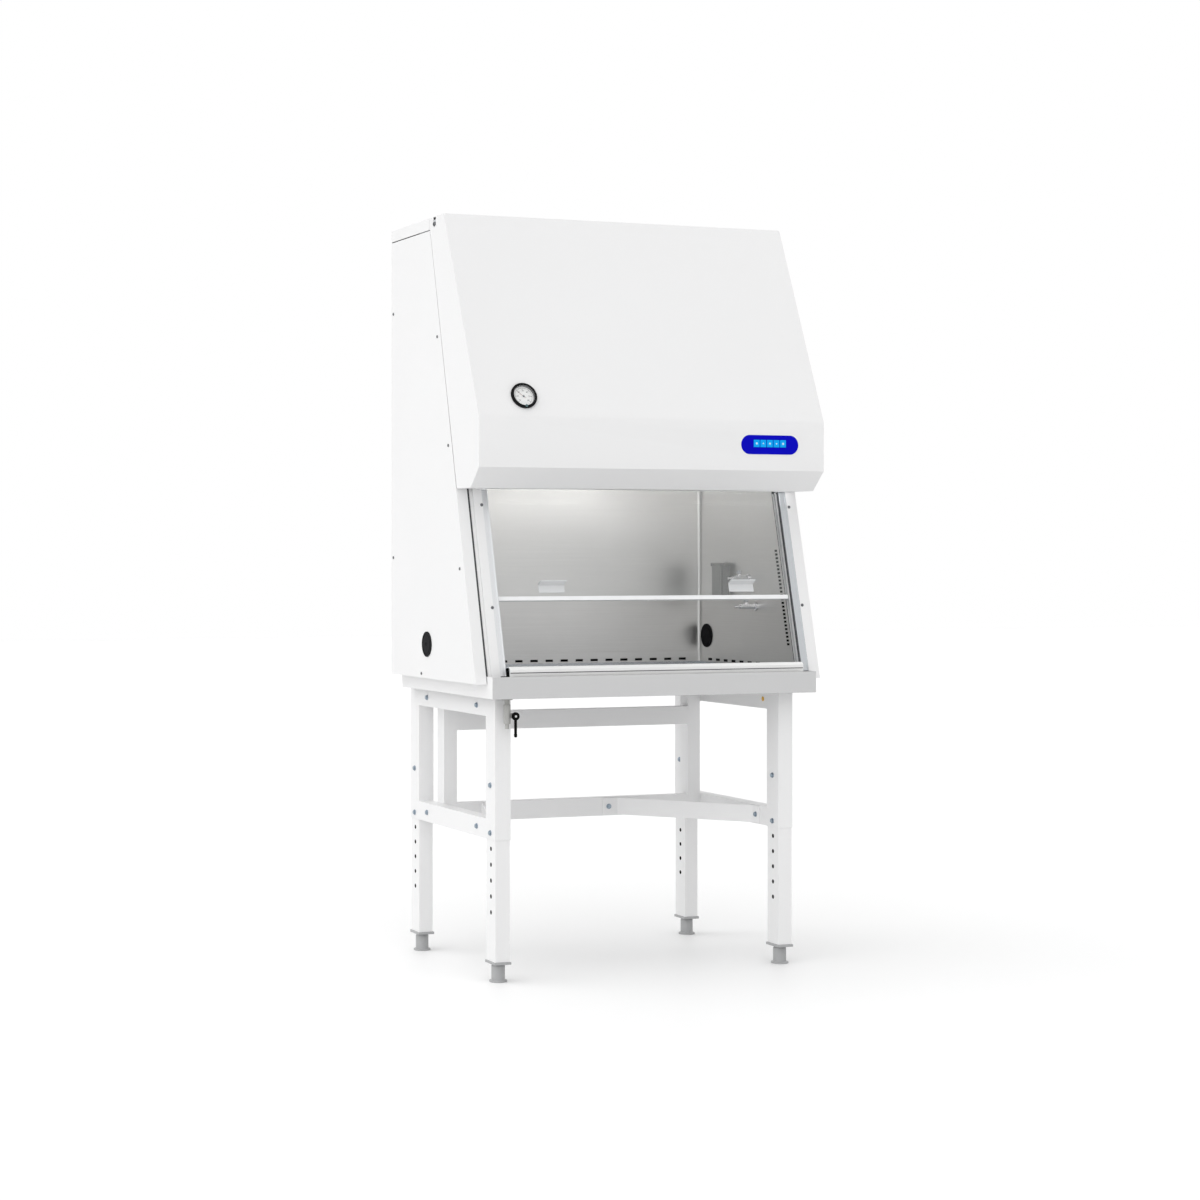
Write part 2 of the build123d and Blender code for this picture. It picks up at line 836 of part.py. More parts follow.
# Front cover: one bent sheet with side flanges, cut for the gauge and the control panel
cover_outline = [
    (y_cover_top, z_top),
    (y_fascia, z_fascia_top),
    (y_fascia, z_fascia_bottom),
    (y_fascia + chamfer_depth, z_cover_bottom),
    (front_y(z_cover_bottom) - face_gap * 3, z_cover_bottom),
    (front_y(z_panel_top) - face_gap, z_panel_top),
    (y_cap - face_gap, z_panel_top + cap_gap),
    (y_cap - face_gap, z_top),
]
cover_inside = [
    (y_cover_top + sheet, z_top - sheet),
    (y_fascia + sheet, z_fascia_top),
    (y_fascia + sheet, z_fascia_bottom + sheet / 2),
    (y_fascia + chamfer_depth + sheet / 2, z_cover_bottom + sheet),
    (y_rear, z_cover_bottom + sheet),
    (y_rear, z_top - sheet),
]
notch_y = y_hanger + hanger_depth / 2
notch_z = z_hanger + hanger_height / 2
with BuildPart() as front_cover:
    side_profile(-half, half, cover_outline)
    side_profile(-half + sheet, half - sheet, cover_inside, Mode.SUBTRACT)
    for low in (-half, half - sheet):
        block(
            low, low + sheet, notch_y - notch_width / 2, notch_y + notch_width / 2,
            notch_z - shoulder_radius / 2, z_top - sheet, Mode.SUBTRACT,
        )
    with BuildSketch(slope_plane):
        with Locations((gauge_x, gauge_run)):
            Circle(gauge_body_radius + side_gap)
    extrude(amount=-3 * sheet, mode=Mode.SUBTRACT)
    with BuildSketch(Plane.XZ.offset(-y_fascia)):
        with Locations((panel_x, panel_z)):
            RectangleRounded(
                panel_width - 2 * panel_fit, panel_height - 2 * panel_fit, panel_corner - panel_fit
            )
    extrude(amount=-2 * sheet, mode=Mode.SUBTRACT)
save(front_cover.part, "front_cover")

# Gauge: a cup with a rim, a dial with its pivot pin, a needle and a lens
gauge_spot = Location((gauge_x, gauge_run, 0))
gauge_plane = Plane(slope_plane.location * gauge_spot)
dial_front = -dial_thickness
with BuildPart() as gauge_case:
    with BuildSketch(gauge_plane.offset(-gauge_body_depth)):
        Circle(gauge_body_radius)
    extrude(amount=gauge_body_depth)
    with BuildSketch(gauge_plane):
        Circle(gauge_radius)
    extrude(amount=gauge_lip)
    chamfer(gauge_case.faces().sort_by(Axis(gauge_plane.origin, gauge_plane.z_dir))[-1].edges(), 2)
    with BuildSketch(gauge_plane.offset(-2 * dial_thickness)):
        Circle(gauge_window_radius)
    extrude(amount=gauge_lip + 2 * dial_thickness, mode=Mode.SUBTRACT)
    with BuildSketch(gauge_plane.offset(gauge_lip - lens_thickness - 1)):
        Circle(lens_radius + lid_gap)
    extrude(amount=lens_thickness + 1, mode=Mode.SUBTRACT)
save(gauge_case.part, "gauge_case")

with BuildPart() as gauge_dial:
    with BuildSketch(gauge_plane.offset(-2 * dial_thickness)):
        Circle(gauge_window_radius - lid_gap)
    extrude(amount=dial_thickness)
    with BuildSketch(gauge_plane.offset(dial_front)):
        Circle(pivot_radius)
    extrude(amount=4)
save(gauge_dial.part, "gauge_dial")

with BuildPart() as gauge_lens:
    with BuildSketch(gauge_plane.offset(gauge_lip - lens_thickness - 1)):
        Circle(lens_radius)
    extrude(amount=lens_thickness)
save(gauge_lens.part, "gauge_lens")

needle_lift = 0.4
needle_angle = 140
with BuildPart() as gauge_needle:
    with BuildSketch(gauge_plane.offset(dial_front + needle_lift)):
        Circle(4)
        with Locations(Location((0, 0, 0), (0, 0, 1), needle_angle)):
            with Locations((needle_length / 2 - 4, 0)):
                Trapezoid(2.4, needle_length + 8, 88.5, rotation=-90)
        Circle(pivot_radius + shaft_clearance, mode=Mode.SUBTRACT)
    extrude(amount=1)
save(gauge_needle.part, "gauge_needle")

# Control panel: a rounded plate with a body behind it and a pocket for each key
panel_spot = Plane(origin=(panel_x, y_fascia, panel_z), x_dir=(1, 0, 0), z_dir=(0, -1, 0))
key_plane = panel_spot.offset(panel_lip)
with BuildPart() as control_panel:
    with BuildSketch(panel_spot):
        RectangleRounded(panel_width, panel_height, panel_corner)
    extrude(amount=panel_lip)
    with BuildSketch(panel_spot):
        RectangleRounded(
            panel_width - 2 * panel_fit - side_gap, panel_height - 2 * panel_fit - side_gap,
            panel_corner - panel_fit - side_gap / 2,
        )
    extrude(amount=-panel_body_depth)
    with BuildSketch(key_plane):
        with Locations((0, key_rise)):
            with GridLocations(key_pitch, 1, key_count, 1):
                Rectangle(key_width + 2 * key_clearance, key_height + 2 * key_clearance)
    extrude(amount=-key_pocket, mode=Mode.SUBTRACT)
save(control_panel.part, "control_panel")

for number in range(key_count):
    key_x = (number - (key_count - 1) / 2) * key_pitch
    with BuildPart() as key:
        with BuildSketch(key_plane.offset(key_proud - key_depth)):
            with Locations((key_x, key_rise)):
                Rectangle(key_width, key_height)
        extrude(amount=key_depth)
    save(key.part, "key_" + str(number + 1))

# Lamp: a reflector channel on the cover's floor and a tube between its sockets
y_lamp = y_fascia + chamfer_depth + lamp_back
z_lamp_floor = z_cover_bottom + sheet
z_tube = z_lamp_floor + lamp_channel_height / 2
with BuildPart() as lamp_housing:
    block(
        -lamp_length / 2, lamp_length / 2, y_lamp - lamp_channel_depth, y_lamp,
        z_lamp_floor, z_lamp_floor + lamp_channel_height,
    )
    block(
        -lamp_length / 2 + lamp_socket, lamp_length / 2 - lamp_socket, y_lamp - lamp_channel_depth + sheet,
        y_lamp, z_lamp_floor + sheet, z_lamp_floor + lamp_channel_height - sheet, Mode.SUBTRACT,
    )
save(lamp_housing.part, "lamp_housing")

with BuildPart() as lamp_tube:
    rod_x(
        -lamp_length / 2 + lamp_socket, lamp_length / 2 - lamp_socket,
        y_lamp - lamp_radius - sheet, z_tube, lamp_radius,
    )
save(lamp_tube.part, "lamp_tube")

# Sash: glass, bottom rail and two lipped handles
glass_left = left_track_end - groove_depth + glass_end_gap
glass_right = right_track_start + right_groove_depth - glass_end_gap
with BuildPart() as sash_glass:
    slope_bar(
        glass_left, glass_right, sash_opening + rail_lap, sash_opening + glass_height,
        glass_setback, glass_setback + glass_thickness,
    )
save(sash_glass.part, "sash_glass")

rail_front = glass_setback - (rail_depth - glass_thickness) / 2
with BuildPart() as sash_rail:
    slope_bar(
        left_track_end + side_gap, right_track_start - seal_width - side_gap,
        sash_opening, sash_opening + rail_height, rail_front, rail_front + rail_depth,
    )
    slope_bar(
        left_track_end, right_track_start, sash_opening + rail_lap, sash_opening + rail_height,
        glass_setback, glass_setback + glass_thickness, Mode.SUBTRACT,
    )
save(sash_rail.part, "sash_rail")

handle_points = [
    (0, 0),
    (0, handle_height),
    (-handle_lip, handle_height + 5),
    (-handle_lip, handle_height + 1),
    (-handle_thickness, handle_height - 7),
    (-handle_thickness, 0),
]


def sash_handle(x):
    """A bent handle plate on the glass, its lip towards the user."""
    side_plane = Plane(
        origin=(x - handle_width / 2, front_y(z_foot, glass_setback), z_foot),
        x_dir=(0, cos_tilt, -sin_tilt),
        z_dir=(1, 0, 0),
    )
    rise = sash_opening + rail_height + 1 + glass_setback * tan_tilt
    with BuildPart() as handle:
        with BuildSketch(side_plane):
            with BuildLine():
                Polyline(*[(a, b + rise) for a, b in handle_points], close=True)
            make_face()
        extrude(amount=handle_width)
    return handle.part


save(Compound(children=[sash_handle(left_handle_x), sash_handle(right_handle_x)]), "sash_handles")

# Counterweights and the pulley shaft that carries the sash and the weights
with BuildPart() as counterweights:
    for weight_x in (left_weight_x, right_weight_x):
        block(
            weight_x - weight_size / 2, weight_x + weight_size / 2,
            weight_y - weight_size / 2, weight_y + weight_size / 2,
            z_weight_top - weight_length, z_weight_top,
        )
        rod_z(weight_x, weight_y, z_weight_top, z_weight_top + 20, 6)
save(counterweights.part, "counterweights")

shaft_half = half - sheet - side_gap
left_pulley_x = chamber_left + 18
right_pulley_x = chamber_right - 18
with BuildPart() as sash_shaft:
    rod_x(-shaft_half, shaft_half, pulley_y, pulley_z, shaft_radius)
    for pulley_x in (left_weight_x, left_pulley_x, right_pulley_x, right_weight_x):
        rod_x(pulley_x - pulley_width / 2, pulley_x + pulley_width / 2, pulley_y, pulley_z, pulley_radius)
save(sash_shaft.part, "sash_shaft")

# Outlet box on the right wall, with a flip cover hung on a pin between two ears
outlet_face_x = chamber_right - outlet_depth
outlet_top = outlet_z + outlet_height / 2
outlet_bottom = outlet_z - outlet_height / 2
hinge_x = outlet_face_x - outlet_lid / 2 - lid_gap
hinge_z = outlet_top + hinge_radius + lid_gap
ear = 8
with BuildPart() as outlet_box:
    block(
        outlet_face_x, chamber_right, outlet_y - outlet_width / 2, outlet_y + outlet_width / 2,
        outlet_bottom, outlet_top,
    )
    for low in (outlet_y - outlet_width / 2, outlet_y + outlet_width / 2 - ear):
        block(hinge_x - 3, outlet_face_x + 6, low, low + ear, outlet_top - 4, hinge_z + 3)
    rod_y(
        hinge_x, hinge_z, outlet_y - outlet_width / 2, outlet_y + outlet_width / 2, pin_radius
    )
    for socket_z in (outlet_z - 28, outlet_z + 28):
        block(
            outlet_face_x, outlet_face_x + 4, outlet_y - 17, outlet_y + 17,
            socket_z - 14, socket_z + 14, Mode.SUBTRACT,
        )
save(outlet_box.part, "outlet_box")

with BuildPart() as outlet_cover:
    block(
        outlet_face_x - lid_gap - outlet_lid, outlet_face_x - lid_gap,
        outlet_y - outlet_width / 2 + ear + lid_gap, outlet_y + outlet_width / 2 - ear - lid_gap,
        outlet_bottom, hinge_z,
    )
    rod_y(
        hinge_x, hinge_z, outlet_y - outlet_width / 2 + ear + lid_gap,
        outlet_y + outlet_width / 2 - ear - lid_gap, hinge_radius,
    )
    rod_y(
        hinge_x, hinge_z, outlet_y - outlet_width / 2, outlet_y + outlet_width / 2,
        pin_radius + shaft_clearance, Mode.SUBTRACT,
    )
save(outlet_cover.part, "outlet_cover")

# Service valves: a flange on the wall, a hexagonal body and a straight hose nozzle
nozzle_root = chamber_right - valve_body_length
stem_x = chamber_right - valve_stem_reach
with BuildPart() as service_valves:
    for valve_y, valve_z in ((lower_valve_y, lower_valve_z), (upper_valve_y, upper_valve_z)):
        with BuildSketch(Plane.YZ.offset(nozzle_root)):
            with Locations((valve_y, valve_z)):
                RegularPolygon(valve_body_radius, 6)
        extrude(amount=chamber_right - nozzle_root)
        rod_x(chamber_right - valve_flange_thickness, chamber_right, valve_y, valve_z, valve_flange_radius)
        rod_x(nozzle_root - nozzle_length, nozzle_root, valve_y, valve_z, nozzle_radius)
        block(
            stem_x - valve_neck, stem_x + valve_neck, valve_y - valve_neck, valve_y + valve_neck,
            valve_z, valve_z + valve_body_radius + 6,
        )
        rod_z(stem_x, valve_y, valve_z + valve_body_radius, valve_z + valve_body_radius + 12, stem_radius)
save(service_valves.part, "service_valves")


def valve_knob(valve_y, valve_z):
    """An eight-sided knob that turns on its valve's stem."""
    low = valve_z + valve_body_radius + 6 + lid_gap
    with BuildPart() as knob:
        with BuildSketch(Plane.XY.offset(low)):
            with Locations((stem_x, valve_y)):
                RegularPolygon(knob_radius, 8)
        extrude(amount=knob_height)
        rod_z(stem_x, valve_y, low, low + 7, stem_radius + shaft_clearance, Mode.SUBTRACT)
    return knob.part


save(valve_knob(lower_valve_y, lower_valve_z), "valve_knob_lower")
save(valve_knob(upper_valve_y, upper_valve_z), "valve_knob_upper")


def port_plug(face_x, y, z):
    """A round stopper pushed into its port from the left."""
    with BuildPart() as plug:
        rod_x(face_x - plug_flange_thickness, face_x, y, z, plug_flange)
        rod_x(face_x, face_x + plug_shank, y, z, port_radius - plug_clearance)
    return plug.part


save(port_plug(-half, left_port_y, left_port_z), "port_plug_left")
save(port_plug(chamber_right, right_port_y, right_port_z), "port_plug_right")

# Drain valve under the tray, with its lever on a front pin
z_drain_top = z_base - drain_drop
z_drain_low = z_drain_top - drain_body_height
lever_x = drain_x + drain_offset
lever_z = z_drain_top - drain_body_height * 0.6
y_boss = drain_y - 14
with BuildPart() as drain_valve:
    rod_z(drain_x, drain_y, z_drain_low, z_drain_top, drain_body_radius)
    rod_z(drain_x, drain_y, z_drain_low - drain_nozzle_length, z_drain_low, drain_nozzle_radius)
    rod_z(drain_x, drain_y, z_drain_top, z_liner + drain_floor, drain_pipe_radius)
    rod_z(drain_x, drain_y, z_base - 5, z_base, drain_flange_radius)
    rod_y(lever_x, lever_z, y_boss, drain_y + drain_body_radius, boss_radius)
    block(drain_x, lever_x, drain_y - 5, drain_y + 5, lever_z - 6, lever_z + 6)
    rod_y(lever_x, lever_z, y_boss - lever_thickness - 1, y_boss, lever_pin_radius)
save(drain_valve.part, "drain_valve")

with BuildPart() as drain_lever:
    rod_y(lever_x, lever_z, y_boss - lid_gap - lever_thickness, y_boss - lid_gap, lever_radius)
    block(
        lever_x - lever_grip, lever_x + lever_grip, y_boss - lid_gap - lever_thickness, y_boss - lid_gap,
        lever_z - lever_length, lever_z - lever_radius / 2,
    )
    rod_y(
        lever_x, lever_z, y_boss - lid_gap - lever_thickness, y_boss - lid_gap,
        lever_pin_radius + shaft_clearance, Mode.SUBTRACT,
    )
save(drain_lever.part, "drain_lever")

# Stand side frames: two sleeves, a top beam and a low beam of welded tube
stand_half = leg_spread / 2
y_front_leg = y_apron + front_leg_setback
y_front_back = y_front_leg + sleeve_depth
y_rear_leg = y_leg_rear - sleeve_depth
z_sleeve = sleeve_drop


def side_frame(side):
    """One side of the stand, with open sleeves and closed beams."""
    outer = side * stand_half
    sleeve_in = side * (stand_half - sleeve_width)
    beam_in = side * (stand_half - beam_width)
    sx0, sx1 = min(outer, sleeve_in), max(outer, sleeve_in)
    bx0, bx1 = min(outer, beam_in), max(outer, beam_in)
    with BuildPart() as frame:
        for y0 in (y_front_leg, y_rear_leg):
            block(sx0, sx1, y0, y0 + sleeve_depth, z_sleeve, z_base)
        for z0, tall in ((z_sleeve, low_beam_height), (z_base - top_beam_height, top_beam_height)):
            block(bx0, bx1, y_front_back, y_rear_leg, z0, z0 + tall)
            block(
                bx0 + tube_wall, bx1 - tube_wall, y_front_back, y_rear_leg,
                z0 + tube_wall, z0 + tall - tube_wall, Mode.SUBTRACT,
            )
        for y0 in (y_front_leg, y_rear_leg):
            block(
                sx0 + sleeve_wall, sx1 - sleeve_wall, y0 + sleeve_wall, y0 + sleeve_depth - sleeve_wall,
                z_sleeve, z_base, Mode.SUBTRACT,
            )
            for hole_z in (hole_top, hole_top - 3 * hole_pitch):
                pin_hole(sx0, sx0 + sleeve_wall, y0 + sleeve_depth / 2, hole_z, bolt_shank_radius)
    return frame.part


save(side_frame(-1), "side_frame_left")
save(side_frame(1), "side_frame_right")

# Rear cross frame: two posts on a low crossbar, with an upper bar between them
post_x1 = stand_half - beam_width
post_x0 = post_x1 - post_width
y_post = y_apron + post_setback
z_low_bar = z_sleeve
z_low_bar_top = z_sleeve + low_beam_height
with BuildPart() as rear_crossframe:
    block(-post_x1, post_x1, y_post, y_post + bar_depth, z_low_bar, z_low_bar_top)
    block(-post_x1, -post_x0, y_post, y_post + post_depth, z_low_bar_top, z_base)
    block(post_x0, post_x1, y_post, y_post + post_depth, z_low_bar_top, z_base)
    block(-post_x0, post_x0, y_post, y_post + bar_depth, upper_bar_top - bar_height, upper_bar_top)
    block(
        -post_x1 + tube_wall, post_x1 - tube_wall, y_post + tube_wall, y_post + bar_depth - tube_wall,
        z_low_bar + tube_wall, z_low_bar_top - tube_wall, Mode.SUBTRACT,
    )
    block(
        -post_x0, post_x0, y_post + tube_wall, y_post + bar_depth - tube_wall,
        upper_bar_top - bar_height + tube_wall, upper_bar_top - tube_wall, Mode.SUBTRACT,
    )
    for low, high in ((-post_x1, -post_x0), (post_x0, post_x1)):
        block(
            low + tube_wall, high - tube_wall, y_post + tube_wall, y_post + post_depth - tube_wall,
            z_low_bar_top + tube_wall, z_base - tube_wall, Mode.SUBTRACT,
        )
save(rear_crossframe.part, "rear_crossframe")

# Diagonal braces: bent plates from the low crossbar to the low side beams
z_brace = z_sleeve + (low_beam_height - brace_height) / 2
y_brace_back = y_post


def brace_points(bar_x, side):
    """Plan outline of a brace: a flange on the crossbar, a diagonal and a flange on the beam."""
    beam_x = side * post_x1
    t = brace_thickness
    outer = [
        (bar_x - side * brace_flange, y_brace_back),
        (bar_x + side * brace_flange * 0.3, y_brace_back),
        (beam_x, brace_y + brace_flange * 0.3),
        (beam_x, brace_y - brace_flange * 0.7),
    ]
    inner = [
        (beam_x - side * t, brace_y - brace_flange * 0.7),
        (beam_x - side * t, brace_y + brace_flange * 0.3 - t * 0.5),
        (bar_x + side * (brace_flange * 0.3 - t * 0.5), y_brace_back - t),
        (bar_x - side * brace_flange, y_brace_back - t),
    ]
    return outer + inner


with BuildPart() as stand_braces:
    for bar_x, side in ((left_brace_x, -1), (right_brace_x, 1)):
        with BuildSketch(Plane.XY.offset(z_brace)):
            with BuildLine():
                Polyline(*brace_points(bar_x, side), close=True)
            make_face()
        extrude(amount=brace_height)
save(stand_braces.part, "stand_braces")


# Legs: square tube with pin holes and a foot plate, sliding in the sleeves

def leg(side, y0):
    """A lower leg tube standing on its foot plate."""
    outer = side * stand_half
    inner = side * (stand_half - sleeve_width)
    x0 = min(outer, inner) + leg_gap
    x1 = max(outer, inner) - leg_gap
    ly0 = y0 + leg_gap
    ly1 = y0 + sleeve_depth - leg_gap
    z0 = foot_height + foot_plate_thickness
    with BuildPart() as lower_leg:
        block(x0, x1, ly0, ly1, z0, leg_top)
        block(
            x0 + leg_wall, x1 - leg_wall, ly0 + leg_wall, ly1 - leg_wall, z0, leg_top, Mode.SUBTRACT
        )
        block(
            x0 - foot_plate_lap, x1 + foot_plate_lap, ly0 - foot_plate_lap, ly1 + foot_plate_lap,
            foot_height, z0,
        )
        rod_z(
            (x0 + x1) / 2, (ly0 + ly1) / 2, foot_height, z0,
            foot_stem_radius + shaft_clearance, Mode.SUBTRACT,
        )
        for step in range(hole_count):
            pin_hole(x0, x0 + leg_wall, (ly0 + ly1) / 2, hole_top - step * hole_pitch, hole_radius)
    return lower_leg.part


def foot(side, y0):
    """A levelling foot: base disc, round body and a stem that screws into the leg."""
    x = side * (stand_half - sleeve_width / 2)
    y = y0 + sleeve_depth / 2
    with BuildPart() as levelling_foot:
        rod_z(x, y, 0, foot_disc_height, foot_disc_radius)
        rod_z(x, y, foot_disc_height, foot_height, foot_radius)
        rod_z(x, y, foot_height, foot_height + foot_stem_length, foot_stem_radius)
    return levelling_foot.part


for name, side, y0 in (
    ("front_left", -1, y_front_leg),
    ("front_right", 1, y_front_leg),
    ("rear_left", -1, y_rear_leg),
    ("rear_right", 1, y_rear_leg),
):
    save(leg(side, y0), "leg_" + name)
    save(foot(side, y0), "foot_" + name)


def hex_bolt(plane, shank):
    """A hexagon head on a face, with a round shank behind it."""
    with BuildSketch(plane) as head:
        RegularPolygon(bolt_head_radius, 6)
    extrude(head.sketch, amount=bolt_head_height)
    if shank:
        with BuildSketch(plane) as stem:
            RegularPolygon(bolt_shank_radius - lid_gap, pin_hole_sides)
        extrude(stem.sketch, amount=-shank)


# Bolts of the stand
z_low_bolt = z_sleeve + low_beam_height / 2
z_top_bolt = z_base - top_beam_height / 2
y_post_bolt = y_post + post_depth / 2
y_beam_bolt = brace_y - brace_flange * 0.2
with BuildPart() as stand_bolts:
    for side in (-1, 1):
        face_x = -stand_half if side < 0 else stand_half - sleeve_width
        for y0 in (y_front_leg, y_rear_leg):
            for bolt_z in (hole_top, hole_top - 3 * hole_pitch):
                spot = Plane(
                    origin=(face_x, y0 + sleeve_depth / 2, bolt_z), x_dir=(0, 1, 0), z_dir=(-1, 0, 0)
                )
                hex_bolt(spot, sleeve_wall)
        for bolt_y, bolt_z in (
            (y_post_bolt, z_top_bolt),
            (y_beam_bolt, z_top_bolt),
            (y_beam_bolt, z_low_bolt),
            (y_post_bolt, z_low_bolt),
        ):
            spot = Plane(
                origin=(side * stand_half, bolt_y, bolt_z), x_dir=(0, 1, 0), z_dir=(side, 0, 0)
            )
            hex_bolt(spot, 0)
        brace_spot = Plane(
            origin=(side * (post_x1 - brace_thickness), y_beam_bolt, z_low_bolt),
            x_dir=(0, 1, 0),
            z_dir=(-side, 0, 0),
        )
        hex_bolt(brace_spot, 0)
    for bar_x, side in ((left_brace_x, -1), (right_brace_x, 1)):
        bar_spot = Plane(
            origin=(bar_x - side * brace_flange * 0.5, y_brace_back - brace_thickness, z_low_bolt),
            x_dir=(1, 0, 0),
            z_dir=(0, -1, 0),
        )
        hex_bolt(bar_spot, 0)
save(stand_bolts.part, "stand_bolts")

# Screws of the cabinet: domed heads on the side panels, and the cover's shoulder bolts
screw_places = [
    (y_rear - 20, z_panel_top - 245),
    (y_rear - 20, z_foot + 400),
    (front_y(z_panel_top - 356) + 30, z_panel_top - 356),
    (front_y(z_panel_top - 717) + 30, z_panel_top - 717),
    (front_y(z_foot + 365) + 38, z_foot + 365),
    (left_port_y + 52, z_foot + 14),
]
column_screws = [
    (column_right_x - 4, run_at(z_cover_bottom - 52)),
    (column_right_x - 4, run_at(z_cover_bottom - 382)),
]
track_screws = [
    (right_track_end + 8, run_at(z_cover_bottom - 52)),
    (right_track_end + 8, run_at(z_cover_bottom - 382)),
]
with BuildPart() as cabinet_screws:
    for side in (-1, 1):
        for screw_y, screw_z in screw_places:
            with BuildSketch(
                Plane(origin=(side * half, screw_y, screw_z), x_dir=(0, 1, 0), z_dir=(side, 0, 0))
            ):
                RegularPolygon(screw_radius, screw_sides)
            extrude(amount=screw_height)
        with BuildSketch(
            Plane(origin=(side * (half - sheet), notch_y, notch_z), x_dir=(0, 1, 0), z_dir=(side, 0, 0))
        ):
            RegularPolygon(shoulder_radius * 0.5, screw_sides)
        extrude(amount=sheet)
        with BuildSketch(
            Plane(origin=(side * half, notch_y, notch_z), x_dir=(0, 1, 0), z_dir=(side, 0, 0))
        ):
            RegularPolygon(shoulder_radius, 2 * screw_sides)
        extrude(amount=shoulder_height)
    for screw_x, screw_u in column_screws + track_screws:
        with BuildSketch(front_plane):
            with Locations((screw_x, screw_u)):
                RegularPolygon(screw_radius, screw_sides)
        extrude(amount=screw_height)
save(cabinet_screws.part, "cabinet_screws")
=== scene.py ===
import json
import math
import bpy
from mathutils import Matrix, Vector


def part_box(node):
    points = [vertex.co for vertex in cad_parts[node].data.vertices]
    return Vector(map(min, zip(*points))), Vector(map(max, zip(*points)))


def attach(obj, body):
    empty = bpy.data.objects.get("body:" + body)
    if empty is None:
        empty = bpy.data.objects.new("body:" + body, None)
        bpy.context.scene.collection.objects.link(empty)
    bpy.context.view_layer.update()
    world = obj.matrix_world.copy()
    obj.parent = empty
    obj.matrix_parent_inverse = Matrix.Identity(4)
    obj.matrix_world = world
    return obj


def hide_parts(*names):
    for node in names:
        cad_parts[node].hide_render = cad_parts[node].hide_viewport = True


bl_info = {
    "name": "Biosafety cabinet",
    "version": (1, 0, 0),
    "blender": (4, 5, 0),
    "location": "3D View > Sidebar > Cabinet",
    "description": "Finishes and fittings for a biosafety cabinet on its stand",
    "category": "Object",
}

import bmesh
import bpy
from bpy.props import FloatProperty, FloatVectorProperty, IntProperty, PointerProperty
from mathutils import Matrix, Vector

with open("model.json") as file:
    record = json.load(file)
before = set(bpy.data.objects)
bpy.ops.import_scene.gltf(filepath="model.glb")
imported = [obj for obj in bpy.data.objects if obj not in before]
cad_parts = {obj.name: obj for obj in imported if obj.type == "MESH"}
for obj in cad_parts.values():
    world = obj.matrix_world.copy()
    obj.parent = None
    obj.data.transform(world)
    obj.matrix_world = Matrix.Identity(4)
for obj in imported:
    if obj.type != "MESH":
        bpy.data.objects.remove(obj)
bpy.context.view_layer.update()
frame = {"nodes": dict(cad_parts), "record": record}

# Lines of the cabinet that several pieces share, in metres
TILT = math.radians(15.1)
FOOT_Z = 0.956
FOOT_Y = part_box("side_panel_left")[0].y
HALF = 0.620
REAR_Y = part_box("rear_panel")[1].y
PANEL_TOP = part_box("side_panel_left")[1].z
SLOPE = math.atan2(0.299, 0.673)
FRONT = Vector((0, -math.cos(TILT), math.sin(TILT)))
UP_FRONT = Vector((0, math.sin(TILT), math.cos(TILT)))
SLOPE_OUT = Vector((0, -math.cos(SLOPE), math.sin(SLOPE)))
SLOPE_UP = Vector((0, math.sin(SLOPE), math.cos(SLOPE)))

# The work chamber's inner walls and the top of its drain floor
WALL_LEFT = -0.523
WALL_RIGHT = 0.548
WALL_BACK = 0.345
DRAIN_TOP = 0.9655

# The column of slots by the right track: lowest place, spacing and count
SLOT_FOOT_Z = 0.993
SLOT_RISE = 0.075
SLOT_PITCH = 0.013
SLOT_COUNT = 26
SLOT_SETBACK = 0.054

# The legs' pin holes: the highest one, their spacing and count, and the foot plate's lap over the tube
HOLE_TOP = 0.6287
HOLE_PITCH = 0.0508
HOLE_COUNT = 9
PLATE_LAP = 0.004
PLATE_TOP = 0.0085

# Greys that several finishes share
FOOT_GREY = (0.40, 0.405, 0.41)


def front_y(z):
    """Y of the panels' sloped front edge at a height."""
    return FOOT_Y + (z - FOOT_Z) * math.tan(TILT)


def slot_colour(slot, count=3):
    """A material slot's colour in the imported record."""
    for entry in frame["record"]["materials"]:
        if entry["slot"] == slot:
            return tuple(entry["base_color"][:count])
    raise RuntimeError("the record has no slot " + slot)


class CabinetSizes(bpy.types.PropertyGroup):
    """Sizes of the fittings that a user may change."""

    sheet_edge: FloatProperty(
        name="Sheet edge", description="Rounding of the folded sheet's edges", default=0.0007,
        subtype="DISTANCE", unit="LENGTH",
    )
    tube_corner: FloatProperty(
        name="Tube corner", description="Corner radius of the stand's square tube", default=0.0035,
        subtype="DISTANCE", unit="LENGTH",
    )
    screw_head: FloatProperty(
        name="Screw head", description="Radius of the panel screws' heads", default=0.0052,
        subtype="DISTANCE", unit="LENGTH",
    )
    bolt_head: FloatProperty(
        name="Bolt head", description="Corner radius of the stand bolts' heads", default=0.0070,
        subtype="DISTANCE", unit="LENGTH",
    )
    washer: FloatProperty(
        name="Washer", description="Radius of the washers under the stand bolts", default=0.0092,
        subtype="DISTANCE", unit="LENGTH",
    )
    dial_ticks: IntProperty(name="Dial ticks", description="Marks round the gauge's dial", default=31)


